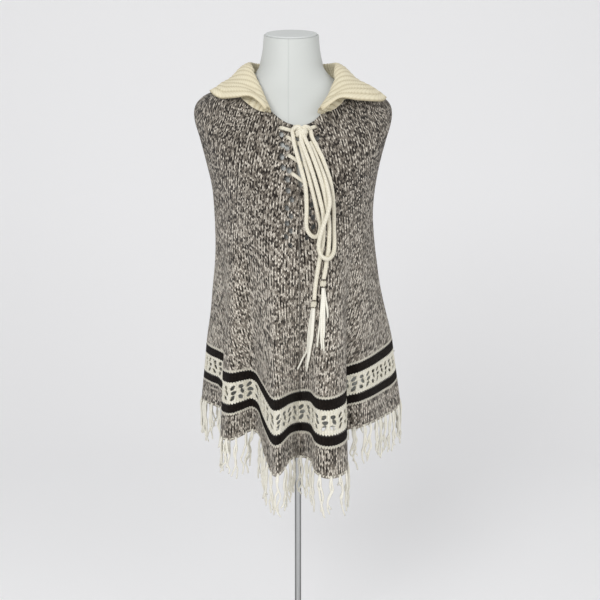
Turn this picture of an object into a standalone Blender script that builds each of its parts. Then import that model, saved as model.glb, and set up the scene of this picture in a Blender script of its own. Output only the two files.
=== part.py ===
"""Knitted poncho sweater with a laced collar, on a limbless dress form and its stand.

Metres, +Z up, front toward -Y, origin at the centre of the base underside.
"""
import bmesh
import bpy
import numpy as np

# ---- sizes -----------------------------------------------------------------
WALL = 0.003            # cloth thickness
GAP = 0.0003            # space between neighbouring pieces
REST = 0.0054           # outer cloth face to the form where the cloth lies on it
HEM_BAND = (0.42, 0.525, 0.875, 1.0)   # tops of border, stripe, lace, stripe over the hem
FRINGE_LEN = 0.078
FOLD_TOP = 0.86         # height where the skirt folds begin
FOLD_POWER = 0.9
FRONT_X = 0.003         # where the centre front line hangs
SLIT_U = 0.0086         # half width of the neck slit, in turns round the cloth
SLIT_ROWS = 7           # rows of the body that the slit cuts through
YOKE_ROWS = 11          # rows from the neckline to the bust
SKIRT_ROWS = 7          # rows from the bust to the upper stripe
BODY_ROWS = YOKE_ROWS + SKIRT_ROWS
FRONT_COLS = 40
BACK_COLS = 24
CORD_R = 0.0037
POLE_R = 0.0063
FORM_BOTTOM = 0.502
NECK_TOP = 1.222
NECK_TILT = 0.31        # rise of the neck's top per metre toward the back
COLLAR_WALL = 0.0032
COLLAR_LIFT = 0.0019
COLLAR_COLS = 44

# form sections: height, centre x, half width, front depth, back depth
FORM = (
    (0.502, -0.004, 0.132, 0.091, 0.087),
    (0.509, -0.004, 0.14, 0.097, 0.093),
    (0.560, -0.004, 0.15, 0.102, 0.099),
    (0.630, -0.005, 0.14, 0.096, 0.092),
    (0.700, -0.006, 0.118, 0.088, 0.084),
    (0.780, -0.007, 0.122, 0.098, 0.085),
    (0.840, -0.007, 0.131, 0.1155, 0.089),
    (0.900, -0.008, 0.137, 0.1225, 0.094),
    (0.950, -0.008, 0.141, 0.1215, 0.099),
    (1.000, -0.009, 0.151, 0.112, 0.101),
    (1.050, -0.010, 0.166, 0.0945, 0.099),
    (1.080, -0.010, 0.175, 0.083, 0.091),
    (1.095, -0.010, 0.173, 0.077, 0.085),
    (1.108, -0.010, 0.160, 0.071, 0.079),
    (1.120, -0.011, 0.130, 0.066, 0.074),
    (1.131, -0.011, 0.100, 0.063, 0.070),
    (1.141, -0.012, 0.081, 0.061, 0.066),
    (1.150, -0.012, 0.070, 0.059, 0.062),
    (1.162, -0.012, 0.0605, 0.0565, 0.0580),
    (1.175, -0.012, 0.0570, 0.0545, 0.0555),
    (1.195, -0.012, 0.0530, 0.0520, 0.0525),
    (1.222, -0.012, 0.0505, 0.0505, 0.0505),
)

# cloth rings from the neckline down to the hem's plain ring:
# height at the sides, at centre front, at centre back, centre x, half width, front depth, back depth
RINGS = (
    (1.134, 1.052, 1.143, -0.010, 0.074, 0.102, 0.074),
    (1.130, 1.034, 1.128, -0.010, 0.100, 0.110, 0.088),
    (1.124, 1.012, 1.108, -0.010, 0.130, 0.117, 0.098),
    (1.116, 0.990, 1.084, -0.010, 0.158, 0.123, 0.105),
    (1.100, 0.967, 1.058, -0.009, 0.1785, 0.128, 0.110),
    (1.078, 0.943, 1.030, -0.009, 0.1835, 0.131, 0.113),
    (1.044, 0.918, 1.000, -0.009, 0.1745, 0.132, 0.114),
    (1.000, 0.892, 0.966, -0.009, 0.1635, 0.131, 0.114),
    (0.950, 0.864, 0.928, -0.008, 0.1535, 0.129, 0.114),
    (0.900, 0.834, 0.888, -0.008, 0.1495, 0.128, 0.114),
    (0.850, 0.800, 0.844, -0.006, 0.1505, 0.128, 0.116),
    (0.800, 0.762, 0.798, -0.004, 0.1550, 0.130, 0.118),
    (0.750, 0.720, 0.750, -0.003, 0.1615, 0.133, 0.121),
    (0.700, 0.676, 0.700, 0.000, 0.1695, 0.137, 0.125),
    (0.636, 0.590, 0.610, 0.003, 0.1820, 0.143, 0.131),
    (0.519, 0.456, 0.468, 0.007, 0.1980, 0.153, 0.140),
)

# hem line with its folds, from centre front toward +X all the way round:
# x, y, z, height of the bands above it
HEM = (
    (0.004, -0.118, 0.456, 0.122), (0.022, -0.142, 0.458, 0.124), (0.031, -0.176, 0.447, 0.130),
    (0.051, -0.190, 0.442, 0.134), (0.076, -0.178, 0.442, 0.137), (0.090, -0.150, 0.448, 0.138),
    (0.083, -0.122, 0.474, 0.132), (0.074, -0.104, 0.490, 0.126), (0.089, -0.093, 0.500, 0.119),
    (0.111, -0.092, 0.503, 0.121), (0.140, -0.066, 0.5055, 0.125), (0.168, -0.022, 0.506, 0.130),
    (0.192, 0.014, 0.508, 0.134), (0.2055, 0.044, 0.518, 0.131), (0.196, 0.078, 0.520, 0.128),
    (0.166, 0.106, 0.512, 0.126), (0.136, 0.106, 0.506, 0.125), (0.112, 0.122, 0.494, 0.124),
    (0.086, 0.152, 0.482, 0.124), (0.056, 0.136, 0.474, 0.123), (0.034, 0.144, 0.464, 0.122),
    (0.000, 0.176, 0.454, 0.122), (-0.034, 0.142, 0.466, 0.122), (-0.058, 0.136, 0.476, 0.122),
    (-0.090, 0.152, 0.486, 0.122), (-0.116, 0.118, 0.500, 0.121), (-0.142, 0.106, 0.512, 0.120),
    (-0.172, 0.094, 0.522, 0.118), (-0.190, 0.060, 0.527, 0.116), (-0.1905, 0.024, 0.527, 0.114),
    (-0.172, -0.012, 0.528, 0.110), (-0.150, -0.034, 0.526, 0.109), (-0.131, -0.052, 0.518, 0.110),
    (-0.134, -0.078, 0.504, 0.114), (-0.1425, -0.104, 0.491, 0.121), (-0.124, -0.130, 0.491, 0.120),
    (-0.103, -0.122, 0.497, 0.116), (-0.083, -0.104, 0.502, 0.111), (-0.070, -0.114, 0.494, 0.113),
    (-0.061, -0.142, 0.470, 0.125), (-0.046, -0.172, 0.444, 0.131), (-0.031, -0.184, 0.446, 0.130),
    (-0.013, -0.148, 0.460, 0.119),
)
HEM_RIGHT = 13          # the hem points at the side seams
HEM_BACK = 21
HEM_LEFT = 29

# collar columns from the left front end round the back to the right front end:
# seam turn, seam level on the rings, ridge xyz, mid fall xyz, outer edge xyz
COLLAR = (
    (-0.100, 0.14, -0.048, -0.108, 1.073, -0.0515, -0.113, 1.078, -0.055, -0.115, 1.079),
    (-0.113, 0.60, -0.055, -0.098, 1.089, -0.061, -0.108, 1.092, -0.066, -0.112, 1.091),
    (-0.135, 0.92, -0.064, -0.080, 1.110, -0.075, -0.092, 1.107, -0.084, -0.099, 1.102),
    (-0.172, 1.14, -0.074, -0.052, 1.136, -0.096, -0.066, 1.126, -0.113, -0.083, 1.101),
    (-0.215, 1.05, -0.084, -0.022, 1.160, -0.115, -0.032, 1.138, -0.146, -0.045, 1.104),
    (-0.255, 0.70, -0.088, 0.010, 1.171, -0.124, 0.012, 1.144, -0.161, 0.006, 1.117),
    (-0.310, 0.40, -0.078, 0.046, 1.174, -0.112, 0.062, 1.142, -0.140, 0.078, 1.100),
    (-0.400, 0.30, -0.046, 0.074, 1.175, -0.064, 0.096, 1.146, -0.080, 0.112, 1.090),
    (-0.500, 0.30, -0.010, 0.083, 1.175, -0.010, 0.106, 1.146, -0.010, 0.122, 1.086),
    (-0.600, 0.30, 0.026, 0.074, 1.175, 0.044, 0.096, 1.146, 0.060, 0.112, 1.090),
    (-0.690, 0.40, 0.060, 0.046, 1.174, 0.094, 0.062, 1.142, 0.126, 0.078, 1.098),
    (-0.745, 0.70, 0.071, 0.010, 1.170, 0.108, 0.012, 1.142, 0.160, 0.006, 1.110),
    (-0.785, 1.10, 0.069, -0.022, 1.158, 0.103, -0.032, 1.136, 0.152, -0.045, 1.099),
    (-0.822, 1.13, 0.066, -0.052, 1.134, 0.085, -0.066, 1.125, 0.108, -0.083, 1.097),
    (-0.845, 1.02, 0.058, -0.080, 1.108, 0.068, -0.092, 1.106, 0.076, -0.099, 1.099),
    (-0.877, 0.68, 0.046, -0.098, 1.087, 0.052, -0.108, 1.090, 0.057, -0.112, 1.089),
    (-0.906, 0.05, 0.036, -0.108, 1.072, 0.039, -0.113, 1.077, 0.042, -0.115, 1.078),
)

# cord centre lines: x, y, z
LOOP_LEFT = (
    (-0.0088, -0.1192, 1.0414), (-0.0077, -0.1232, 1.0310), (-0.0055, -0.1279, 1.0172),
    (0.0006, -0.1342, 0.9950), (0.0064, -0.1390, 0.9746), (0.0121, -0.1418, 0.9525),
    (0.0148, -0.1392, 0.9320), (0.0154, -0.1358, 0.9045), (0.0151, -0.1342, 0.8786),
    (0.0197, -0.1329, 0.8664), (0.0284, -0.1318, 0.8593), (0.0364, -0.1306, 0.8636),
    (0.0395, -0.1307, 0.8784), (0.0363, -0.1326, 0.8923), (0.0292, -0.1374, 0.9235),
    (0.0211, -0.1416, 0.9559), (0.0146, -0.1375, 0.9814), (0.0083, -0.1315, 1.0052),
    (0.0037, -0.1258, 1.0232),
)
LOOP_RIGHT = (
    (0.0223, -0.1184, 1.0414), (0.0247, -0.1224, 1.0310), (0.0324, -0.1268, 1.0156),
    (0.0439, -0.1326, 0.9916), (0.0557, -0.1333, 0.9576), (0.0607, -0.1288, 0.9319),
    (0.0627, -0.1263, 0.9059), (0.0635, -0.1225, 0.8692), (0.0640, -0.1274, 0.8433),
    (0.0614, -0.1379, 0.8302), (0.0524, -0.1482, 0.8224), (0.0411, -0.1487, 0.8276),
    (0.0364, -0.1481, 0.8414), (0.0374, -0.1479, 0.8552), (0.0410, -0.1469, 0.8698),
    (0.0460, -0.1470, 0.8844), (0.0514, -0.1469, 0.8998), (0.0551, -0.1467, 0.9185),
    (0.0530, -0.1446, 0.9355), (0.0475, -0.1410, 0.9576), (0.0371, -0.1356, 0.9848),
    (0.0272, -0.1295, 1.0087), (0.0204, -0.1258, 1.0224),
)
TAIL_LEFT = (
    (0.0067, -0.1341, 1.0228), (0.0117, -0.1386, 1.0083), (0.0194, -0.1437, 0.9880),
    (0.0293, -0.1456, 0.9576), (0.0377, -0.1422, 0.9270), (0.0437, -0.1398, 0.9012),
    (0.0449, -0.1376, 0.8787), (0.0439, -0.1376, 0.8528), (0.0395, -0.1397, 0.8277),
    (0.0357, -0.1371, 0.8067), (0.0315, -0.1353, 0.7773), (0.0289, -0.1372, 0.7493),
)
TAIL_RIGHT = (
    (0.0146, -0.1339, 1.0234), (0.0202, -0.1372, 1.0118), (0.0313, -0.1441, 0.9829),
    (0.0399, -0.1445, 0.9576), (0.0459, -0.1408, 0.9355), (0.0509, -0.1387, 0.9098),
    (0.0543, -0.1354, 0.8855), (0.0549, -0.1339, 0.8699), (0.0541, -0.1352, 0.8439),
    (0.0508, -0.1386, 0.8198), (0.0480, -0.1377, 0.8004), (0.0452, -0.1380, 0.7864),
)
TASSEL_LEFT = (
    (0.0266, -0.1409, 0.7341), (0.0240, -0.1418, 0.7056), (0.0209, -0.1425, 0.6700),
    (0.0171, -0.1422, 0.6268),
)
TASSEL_RIGHT = (
    (0.0442, -0.1403, 0.7709), (0.0442, -0.1441, 0.7414), (0.0435, -0.1496, 0.7069),
    (0.0413, -0.1565, 0.6674),
)

# the lacing across the slit, top row first: left end xyz, right end xyz
LACES = (
    (-0.0300, -0.1058, 1.0480, -0.0074, -0.1129, 1.0414),
    (0.0195, -0.1098, 1.0456, 0.0305, -0.1053, 1.0497),
    (-0.0185, -0.1144, 1.0323, 0.0213, -0.1227, 1.0062),
    (-0.0157, -0.1244, 1.0000, 0.0209, -0.1301, 0.9774),
    (-0.0098, -0.1322, 0.9686, 0.0178, -0.1345, 0.9498),
)

# knots: name, centre xyz, half width, half depth, half height
KNOTS = (
    ("bow_knot", 0.0070, -0.1218, 1.0390, 0.0117, 0.0102, 0.0120),
    ("tail_knot_left", 0.0278, -0.1399, 0.7420, 0.0058, 0.0052, 0.0073),
    ("tail_knot_right", 0.0444, -0.1377, 0.7782, 0.0058, 0.0052, 0.0071),
)

# materials: colour, roughness, metallic
LOOKS = {
    "form_shell": ((0.68, 0.71, 0.69), 0.55, 0.0),
    "form_cap": ((0.62, 0.64, 0.62), 0.6, 0.0),
    "pole_steel": ((0.45, 0.46, 0.46), 0.3, 1.0),
    "base_steel": ((0.55, 0.55, 0.54), 0.4, 1.0),
    "marl_knit": ((0.28, 0.24, 0.20), 0.95, 0.0),
    "dark_knit": ((0.018, 0.011, 0.008), 0.95, 0.0),
    "cream_lace": ((0.80, 0.76, 0.62), 0.95, 0.0),
    "cream_rib": ((0.76, 0.69, 0.49), 0.95, 0.0),
    "cream_cord": ((0.84, 0.79, 0.64), 0.9, 0.0),
    "cream_fringe": ((0.84, 0.79, 0.64), 0.9, 0.0),
}


# ---- helpers ---------------------------------------------------------------
def clear_scene():
    for obj in list(bpy.data.objects):
        bpy.data.objects.remove(obj, do_unlink=True)


def look(name):
    colour, roughness, metallic = LOOKS[name]
    mat = bpy.data.materials.get(name) or bpy.data.materials.new(name)
    mat.use_nodes = True
    shader = mat.node_tree.nodes["Principled BSDF"]
    shader.inputs["Base Color"].default_value = (*colour, 1.0)
    shader.inputs["Roughness"].default_value = roughness
    shader.inputs["Metallic"].default_value = metallic
    mat.diffuse_color = (*colour, 1.0)
    return mat


def place(name, data, mat):
    obj = bpy.data.objects.new(name, data)
    data.materials.append(look(mat))
    HOME.objects.link(obj)
    return obj


def add_mesh(name, verts, faces, mat, smooth=True):
    mesh = bpy.data.meshes.new(name)
    mesh.from_pydata([tuple(v) for v in verts], [], [tuple(f) for f in faces])
    mesh.update()
    mesh.polygons.foreach_set("use_smooth", [smooth] * len(mesh.polygons))
    return place(name, mesh, mat)


def spline(table, at, closed=False):
    """Catmull-Rom curve through the table's rows, read at whole-number knots and between."""
    rows = np.asarray(table, float)
    count = len(rows)
    at = np.asarray(at, float)
    base = np.floor(at).astype(int)
    if not closed:
        base = np.clip(base, 0, count - 2)
    t = (at - base)[..., None]

    def row(k):
        if closed:
            return rows[(base + k) % count]
        inside = rows[np.clip(base + k, 0, count - 1)]
        low = (base + k < 0)[..., None]
        high = (base + k > count - 1)[..., None]
        inside = np.where(low, 2 * rows[0] - rows[1], inside)
        return np.where(high, 2 * rows[-1] - rows[-2], inside)

    p0, p1, p2, p3 = row(-1), row(0), row(1), row(2)
    return 0.5 * (2 * p1 + (p2 - p0) * t + (2 * p0 - 5 * p1 + 4 * p2 - p3) * t ** 2
                  + (3 * p1 - p0 - 3 * p2 + p3) * t ** 3)


def oval(turn, centre, half, front, back):
    """Point round a plan oval; turn 0 is centre front and 0.25 is the +X side."""
    angle = 2 * np.pi * turn
    depth = np.where(np.cos(angle) > 0, front, back)
    return centre + half * np.sin(angle), -depth * np.cos(angle)


def grid_normals(points, closed):
    """Outward unit normals of a grid [row, column, xyz]."""
    if closed:
        across = np.roll(points, -1, axis=1) - np.roll(points, 1, axis=1)
    else:
        across = np.gradient(points, axis=1)
    down = np.gradient(points, axis=0)
    normal = np.cross(down, across)
    return normal / np.linalg.norm(normal, axis=2, keepdims=True)


def rest_on(points, under, under_normals, clear):
    """Moves the points that are nearer than clear to the surface under them out to it."""
    flat = points.reshape(-1, 3)
    bed = under.reshape(-1, 3)
    faces = under_normals.reshape(-1, 3)
    out = flat.copy()
    for start in range(0, len(flat), 400):
        part = out[start:start + 400]
        gaps = ((part[:, None] - bed[None]) ** 2).sum(axis=2)
        near = gaps.argmin(axis=1)
        height = ((part - bed[near]) * faces[near]).sum(axis=1)
        close = np.sqrt(gaps.min(axis=1)) < 0.04
        lift = np.where(close, np.maximum(clear - height, 0), 0)
        out[start:start + 400] = part + faces[near] * lift[:, None]
    return out.reshape(points.shape)


def finer(grid, times):
    """Closed grid read again with the given number of straight steps in each quad."""
    ring_of = np.concatenate([grid, grid[:, :1]], axis=1)
    out = ring_of
    for axis in (0, 1):
        out = np.moveaxis(out, axis, 0)
        at = np.linspace(0, len(out) - 1, (len(out) - 1) * times + 1)
        low = np.minimum(at.astype(int), len(out) - 2)
        part = (at - low)[:, None, None]
        out = np.moveaxis(out[low] * (1 - part) + out[low + 1] * part, 0, axis)
    return out


def form_grid(rows, cols):
    """The dress form's skin: rows from its bottom up to the neck's top."""
    level = np.linspace(0, len(FORM) - 1, rows)
    section = spline(FORM, level)
    turn = np.arange(cols) / cols
    x, y = oval(turn[None], section[:, 1:2], section[:, 2:3], section[:, 3:4], section[:, 4:5])
    z = np.repeat(section[:, :1], cols, axis=1)
    lean = np.clip((z - 1.195) / (NECK_TOP - 1.195), 0, 1)
    z = z + lean * NECK_TILT * y
    return np.stack([x, y, z], axis=2)


def hem_line(turn):
    """Folded hem and band height at each turn; fabric is spread evenly over each quarter."""
    count = len(HEM)
    knots = np.linspace(0, count, count * 24 + 1)
    fine = spline(HEM, knots, closed=True)
    run = np.concatenate([[0], np.cumsum(np.linalg.norm(np.diff(fine[:, :3], axis=0), axis=1))])
    marks = np.interp((0, HEM_RIGHT, HEM_BACK, HEM_LEFT, count), knots, run)
    want = np.interp(turn % 1.0, (0, 0.25, 0.5, 0.75, 1.0), marks)
    read = np.stack([np.interp(want, run, fine[:, k]) for k in range(4)], axis=-1)
    return read[:, :3], read[:, 3]


def ring(section, turn):
    """One plain cloth ring at each turn; its height swings from the side to front and back."""
    x, y = oval(turn, section[3], section[4], section[5], section[6])
    x = x + (FRONT_X - section[3]) * np.clip(np.cos(2 * np.pi * turn), 0, 1) ** 2
    swing = np.abs(np.cos(2 * np.pi * turn)) ** 1.5
    end = np.where(np.cos(2 * np.pi * turn) > 0, section[1], section[2])
    return np.stack([x, y, section[0] + (end - section[0]) * swing], axis=-1)


def cloth_rows(turn, yoke_rows, skirt_rows, band_rows):
    """The whole hanging cloth as a grid [row, column, xyz] from neckline to hem."""
    hem, band = hem_line(turn)
    plain_hem = ring(np.array(RINGS[-1]), turn)
    skirt = np.linspace(7, len(RINGS) - 2, skirt_rows + 1)[1:]
    levels = np.concatenate([np.linspace(0, 7, yoke_rows), skirt])
    last = ring(np.array(RINGS[-2]), turn)
    rise = hem[:, 2] + band - last[:, 2]
    rows = []
    for level in levels:
        here = ring(spline(RINGS, level), turn)
        blend = max(0.0, (level - 9) / (len(RINGS) - 2 - 9))
        here[:, 2] += rise * blend
        rows.append(here)
    fractions = []
    edges = (1.0,) + HEM_BAND[2::-1] + (0.0,)
    for top, low, count in zip(edges[:-1], edges[1:], band_rows):
        fractions += list(np.linspace(top, low, count + 1)[1:])
    for part in fractions:
        here = ring(spline(RINGS, len(RINGS) - 1 - part), turn)
        here[:, 2] = hem[:, 2] + band * part
        rows.append(here)
    cloth = np.array(rows)
    drop = np.clip((FOLD_TOP - cloth[:, :, 2]) / (FOLD_TOP - hem[None, :, 2]), 0, 1)
    fold = (hem - plain_hem)[None] * (drop ** FOLD_POWER)[:, :, None]
    cloth[:, :, :2] += fold[:, :, :2]
    return cloth


def slab(name, outer, inner, keep, closed, mat):
    """Closed wall from an outer and an inner grid over the kept quads."""
    rows, cols = outer.shape[:2]
    used = np.full((rows, cols), -1)
    quads = []
    wide = cols if closed else cols - 1
    for r in range(rows - 1):
        for c in range(wide):
            if keep[r, c]:
                quads.append(((r, c), (r + 1, c), (r + 1, (c + 1) % cols), (r, (c + 1) % cols)))
    corners = sorted({corner for quad in quads for corner in quad})
    for number, (r, c) in enumerate(corners):
        used[r, c] = number
    total = len(corners)
    verts = [outer[r, c] for r, c in corners] + [inner[r, c] for r, c in corners]
    faces = []
    sides = {}
    for quad in quads:
        ids = [used[r, c] for r, c in quad]
        faces.append(ids)
        faces.append([k + total for k in reversed(ids)])
        for a, b in zip(ids, ids[1:] + ids[:1]):
            sides[(a, b)] = sides.get((a, b), 0) + 1
    for a, b in sides:
        if (b, a) in sides:
            continue
        if corners[a] < corners[b]:
            faces.append([b, a, b + total])
            faces.append([a, a + total, b + total])
        else:
            faces.append([b, a, a + total])
            faces.append([b, a + total, b + total])
    return add_mesh(name, verts, faces, mat)


def pulled(grid, normals, rows, cols):
    """Grid edges moved in by half a seam gap on the named sides (first, last)."""
    out = grid.copy()
    if rows[0]:
        step = out[1] - out[0]
        out[0] += step * (GAP / 2 / np.linalg.norm(step, axis=1, keepdims=True))
    if rows[1]:
        step = out[-2] - out[-1]
        out[-1] += step * (GAP / 2 / np.linalg.norm(step, axis=1, keepdims=True))
    if cols[0]:
        step = out[:, 1] - out[:, 0]
        out[:, 0] += step * (GAP / 2 / np.linalg.norm(step, axis=1, keepdims=True))
    if cols[1]:
        step = out[:, -2] - out[:, -1]
        out[:, -1] += step * (GAP / 2 / np.linalg.norm(step, axis=1, keepdims=True))
    return out, out - normals * WALL


def wall(name, grid, normals, rows, cols, mat, keep=None, closed=False):
    outer, inner = pulled(grid, normals, rows, cols)
    if keep is None:
        keep = np.ones((grid.shape[0], grid.shape[1]), bool)
    return slab(name, outer, inner, keep, closed, mat)


def tube(name, points, radius, mat, detail=2):
    curve = bpy.data.curves.new(name, "CURVE")
    curve.dimensions = "3D"
    curve.bevel_depth = radius
    curve.bevel_resolution = detail
    curve.use_fill_caps = True
    line = curve.splines.new("POLY")
    line.points.add(len(points) - 1)
    for point, at in zip(line.points, points):
        point.co = (*at, 1.0)
    return place(name, curve, mat)


def cord_path(table, step):
    """Smooth curve through the table's points, re-read at an even step."""
    fine = spline(table, np.linspace(0, len(table) - 1, len(table) * 30))
    run = np.concatenate([[0], np.cumsum(np.linalg.norm(np.diff(fine, axis=0), axis=1))])
    count = max(3, int(round(run[-1] / step)) + 1)
    want = np.linspace(0, run[-1], count)
    return np.stack([np.interp(want, run, fine[:, k]) for k in range(3)], axis=1)


# ---- build -----------------------------------------------------------------
clear_scene()
HOME = bpy.data.collections.new("knitted_poncho_on_dress_form")
bpy.context.scene.collection.children.link(HOME)


def build_form():
    grid = form_grid(44, 48)
    rows, cols = grid.shape[:2]
    verts = list(grid.reshape(-1, 3))
    faces = []
    for r in range(rows - 1):
        for c in range(cols):
            d = (c + 1) % cols
            faces.append((r * cols + c, r * cols + d, (r + 1) * cols + d, (r + 1) * cols + c))
    faces.append(tuple(reversed(range(cols))))
    faces.append(tuple((rows - 1) * cols + c for c in range(cols)))
    add_mesh("form_torso", verts, faces, "form_shell")


def build_cap():
    turn = np.arange(40) / 40
    verts = []
    for radius, lift in ((0.0475, GAP), (0.0475, 0.0022), (0.0465, 0.0030)):
        x, y = oval(turn, -0.012, radius, radius, radius)
        verts += list(np.stack([x, y, NECK_TOP + lift + NECK_TILT * y], axis=1))
    faces = [tuple(reversed(range(40))), tuple(range(80, 120))]
    for r in range(2):
        for c in range(40):
            d = (c + 1) % 40
            faces.append((r * 40 + c, r * 40 + d, r * 40 + 40 + d, r * 40 + 40 + c))
    add_mesh("neck_cap", verts, faces, "form_cap")


def turned(name, profile, mat, steps=64):
    """Solid of revolution round the pole's axis from (radius, height) points."""
    mesh = bpy.data.meshes.new(name)
    verts = [(radius, 0.0, height) for radius, height in profile]
    mesh.from_pydata(verts, [(k, k + 1) for k in range(len(verts) - 1)], [])
    obj = place(name, mesh, mat)
    screw = obj.modifiers.new("turn", "SCREW")
    screw.steps = steps
    screw.render_steps = steps
    screw.use_merge_vertices = True
    screw.merge_threshold = 0.00001
    screw.use_normal_flip = True
    return obj


def build_stand():
    turned("stand_base", (
        (0.0, 0.0), (0.176, 0.0), (0.180, 0.003), (0.180, 0.007), (0.176, 0.010),
        (0.022, 0.012), (0.019, 0.014), (0.019, 0.030), (0.016, 0.033), (0.0, 0.033)), "base_steel", 72)
    turned("stand_pole", (
        (0.0, 0.0333), (POLE_R, 0.0333), (POLE_R, FORM_BOTTOM - GAP), (0.0, FORM_BOTTOM - GAP)),
        "pole_steel", 24)


def front_turns():
    """Column turns over the front, with the slit's two edges among them."""
    right = np.linspace(SLIT_U, 0.25, FRONT_COLS // 2)
    return np.concatenate([-right[::-1], right])


def build_cloth():
    front = front_turns()
    back = np.linspace(0.25, 0.75, BACK_COLS + 1)
    turn = np.concatenate([front, back[1:-1]])
    cloth = cloth_rows(turn, YOKE_ROWS, SKIRT_ROWS, (1, 3, 1, 3))
    bed = form_grid(170, 160)
    bed_normals = -grid_normals(bed, True)
    cloth = rest_on(cloth, bed, bed_normals, REST)
    normals = grid_normals(cloth, True)
    lay_body(cloth, normals, len(front))
    lay_bands(cloth, normals)
    return cloth, normals


def lay_body(cloth, normals, front_count):
    body = cloth[:BODY_ROWS]
    face = normals[:BODY_ROWS]
    keep = np.ones((BODY_ROWS, front_count), bool)
    keep[:SLIT_ROWS, FRONT_COLS // 2 - 1] = False
    wall("body_front", body[:, :front_count], face[:, :front_count], (False, True), (True, True),
         "marl_knit", keep)
    cols = list(range(front_count - 1, cloth.shape[1])) + [0]
    wall("body_back", body[:, cols], face[:, cols], (False, True), (True, True), "marl_knit")


def lay_bands(cloth, normals):
    start = BODY_ROWS - 1
    for name, rows, mat, end in (
            ("stripe_upper", 1, "dark_knit", True), ("lace_band", 3, "cream_lace", True),
            ("stripe_lower", 1, "dark_knit", True), ("hem_border", 3, "marl_knit", True)):
        part = slice(start, start + rows + 1)
        wall(name, cloth[part], normals[part], (True, end), (False, False), mat, closed=True)
        start += rows
    hem = cloth[-1] - normals[-1] * (WALL / 2 - 0.0008)
    reach = np.stack([hem - (0, 0, 3 * GAP), hem - (0, 0, FRINGE_LEN)])
    flat = normals[-1] * (1, 1, 0)
    flat /= np.linalg.norm(flat, axis=1, keepdims=True)
    side = np.stack([flat, flat])
    keep = np.ones((2, cloth.shape[1]), bool)
    slab("fringe", reach, reach - side * 0.0016, keep, True, "cream_fringe")


def build_collar(cloth, normals):
    table = np.array(COLLAR)
    at = np.linspace(0, len(table) - 1, COLLAR_COLS + 1)
    read = spline(table, at)
    seam = np.array([ring(spline(RINGS, row[1]), row[0]) for row in read])
    ridge, mid, edge = read[:, 2:5], read[:, 5:8], read[:, 8:11]
    up = np.array((0, 0, 1.0))
    out = (ridge - seam) * (1, 1, 0)
    size = np.linalg.norm(ridge - seam, axis=1, keepdims=True)
    foot = seam + up * 0.0010
    stand = foot + (ridge - foot) * 0.55 - out * 0.15
    strips = np.array([foot, stand, ridge, ridge * 0.6 + mid * 0.4 + up * 0.12 * size, mid,
                       mid * 0.5 + edge * 0.5 + up * 0.06 * size, edge])
    fine = spline(strips.reshape(len(strips), -1), np.linspace(0, len(strips) - 1, 13))
    grid = fine.reshape(13, COLLAR_COLS + 1, 3)
    bed = finer(cloth[:BODY_ROWS], 4)
    bed_normals = grid_normals(bed, False)
    for _ in range(4):
        far = grid - grid_normals(grid, False) * COLLAR_WALL
        grid += rest_on(far, bed, bed_normals, COLLAR_LIFT) - far
        grid = rest_on(grid, bed, bed_normals, COLLAR_LIFT)
    face = grid_normals(grid, False)
    keep = np.ones(grid.shape[:2], bool)
    slab("collar", grid, grid - face * COLLAR_WALL, keep, False, "cream_rib")


def build_cords():
    for name, table in (
            ("bow_loop_left", LOOP_LEFT), ("bow_loop_right", LOOP_RIGHT),
            ("cord_tail_left", TAIL_LEFT), ("cord_tail_right", TAIL_RIGHT)):
        tube(name, cord_path(table, 0.011), CORD_R, "cream_cord")
    for name, table in (("tassel_left", TASSEL_LEFT), ("tassel_right", TASSEL_RIGHT)):
        tube(name, cord_path(table, 0.014), 0.0048, "cream_cord")
    for number, ends in enumerate(LACES):
        line = np.linspace(ends[:3], ends[3:], 4)
        tube("lacing_%d" % (number + 1), line, CORD_R, "cream_cord")
    for name, x, y, z, wide, deep, tall in KNOTS:
        mesh = bpy.data.meshes.new(name)
        bm = bmesh.new()
        bmesh.ops.create_uvsphere(bm, u_segments=16, v_segments=10, radius=1.0)
        bmesh.ops.scale(bm, vec=(wide, deep, tall), verts=bm.verts)
        bmesh.ops.translate(bm, vec=(x, y, z), verts=bm.verts)
        bm.to_mesh(mesh)
        bm.free()
        place(name, mesh, "cream_cord")


build_form()
build_cap()
build_stand()
CLOTH, CLOTH_NORMALS = build_cloth()
build_collar(CLOTH, CLOTH_NORMALS)
build_cords()
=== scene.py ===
import bmesh
import bpy
import numpy as np
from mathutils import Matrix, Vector


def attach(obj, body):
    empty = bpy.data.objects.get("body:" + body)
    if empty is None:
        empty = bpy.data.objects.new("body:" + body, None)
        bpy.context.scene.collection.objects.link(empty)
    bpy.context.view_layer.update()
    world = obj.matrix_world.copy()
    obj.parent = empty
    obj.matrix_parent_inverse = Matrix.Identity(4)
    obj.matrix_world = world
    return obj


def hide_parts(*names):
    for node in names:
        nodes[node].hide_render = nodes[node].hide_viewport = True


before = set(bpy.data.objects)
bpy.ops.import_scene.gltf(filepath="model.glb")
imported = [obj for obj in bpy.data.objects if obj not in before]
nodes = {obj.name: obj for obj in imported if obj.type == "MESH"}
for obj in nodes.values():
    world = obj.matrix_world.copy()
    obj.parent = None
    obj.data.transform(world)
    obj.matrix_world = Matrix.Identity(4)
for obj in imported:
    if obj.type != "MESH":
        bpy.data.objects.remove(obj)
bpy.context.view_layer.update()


# stands 1.6 m from the garment's middle, eight degrees above level
cameraData = bpy.data.cameras.new("camera")
cameraData.lens = 50
cameraData.sensor_width = 36
camera = bpy.data.objects.new("camera", cameraData)
bpy.context.scene.collection.objects.link(camera)
bpy.context.scene.camera = camera
aim = Vector((0.004, 0.0, 0.73))
away = Vector((0.0, -np.cos(np.radians(8)), np.sin(np.radians(8))))
camera.location = aim + away * 1.6
camera.rotation_euler = (-away).to_track_quat("-Z", "Y").to_euler()


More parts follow.
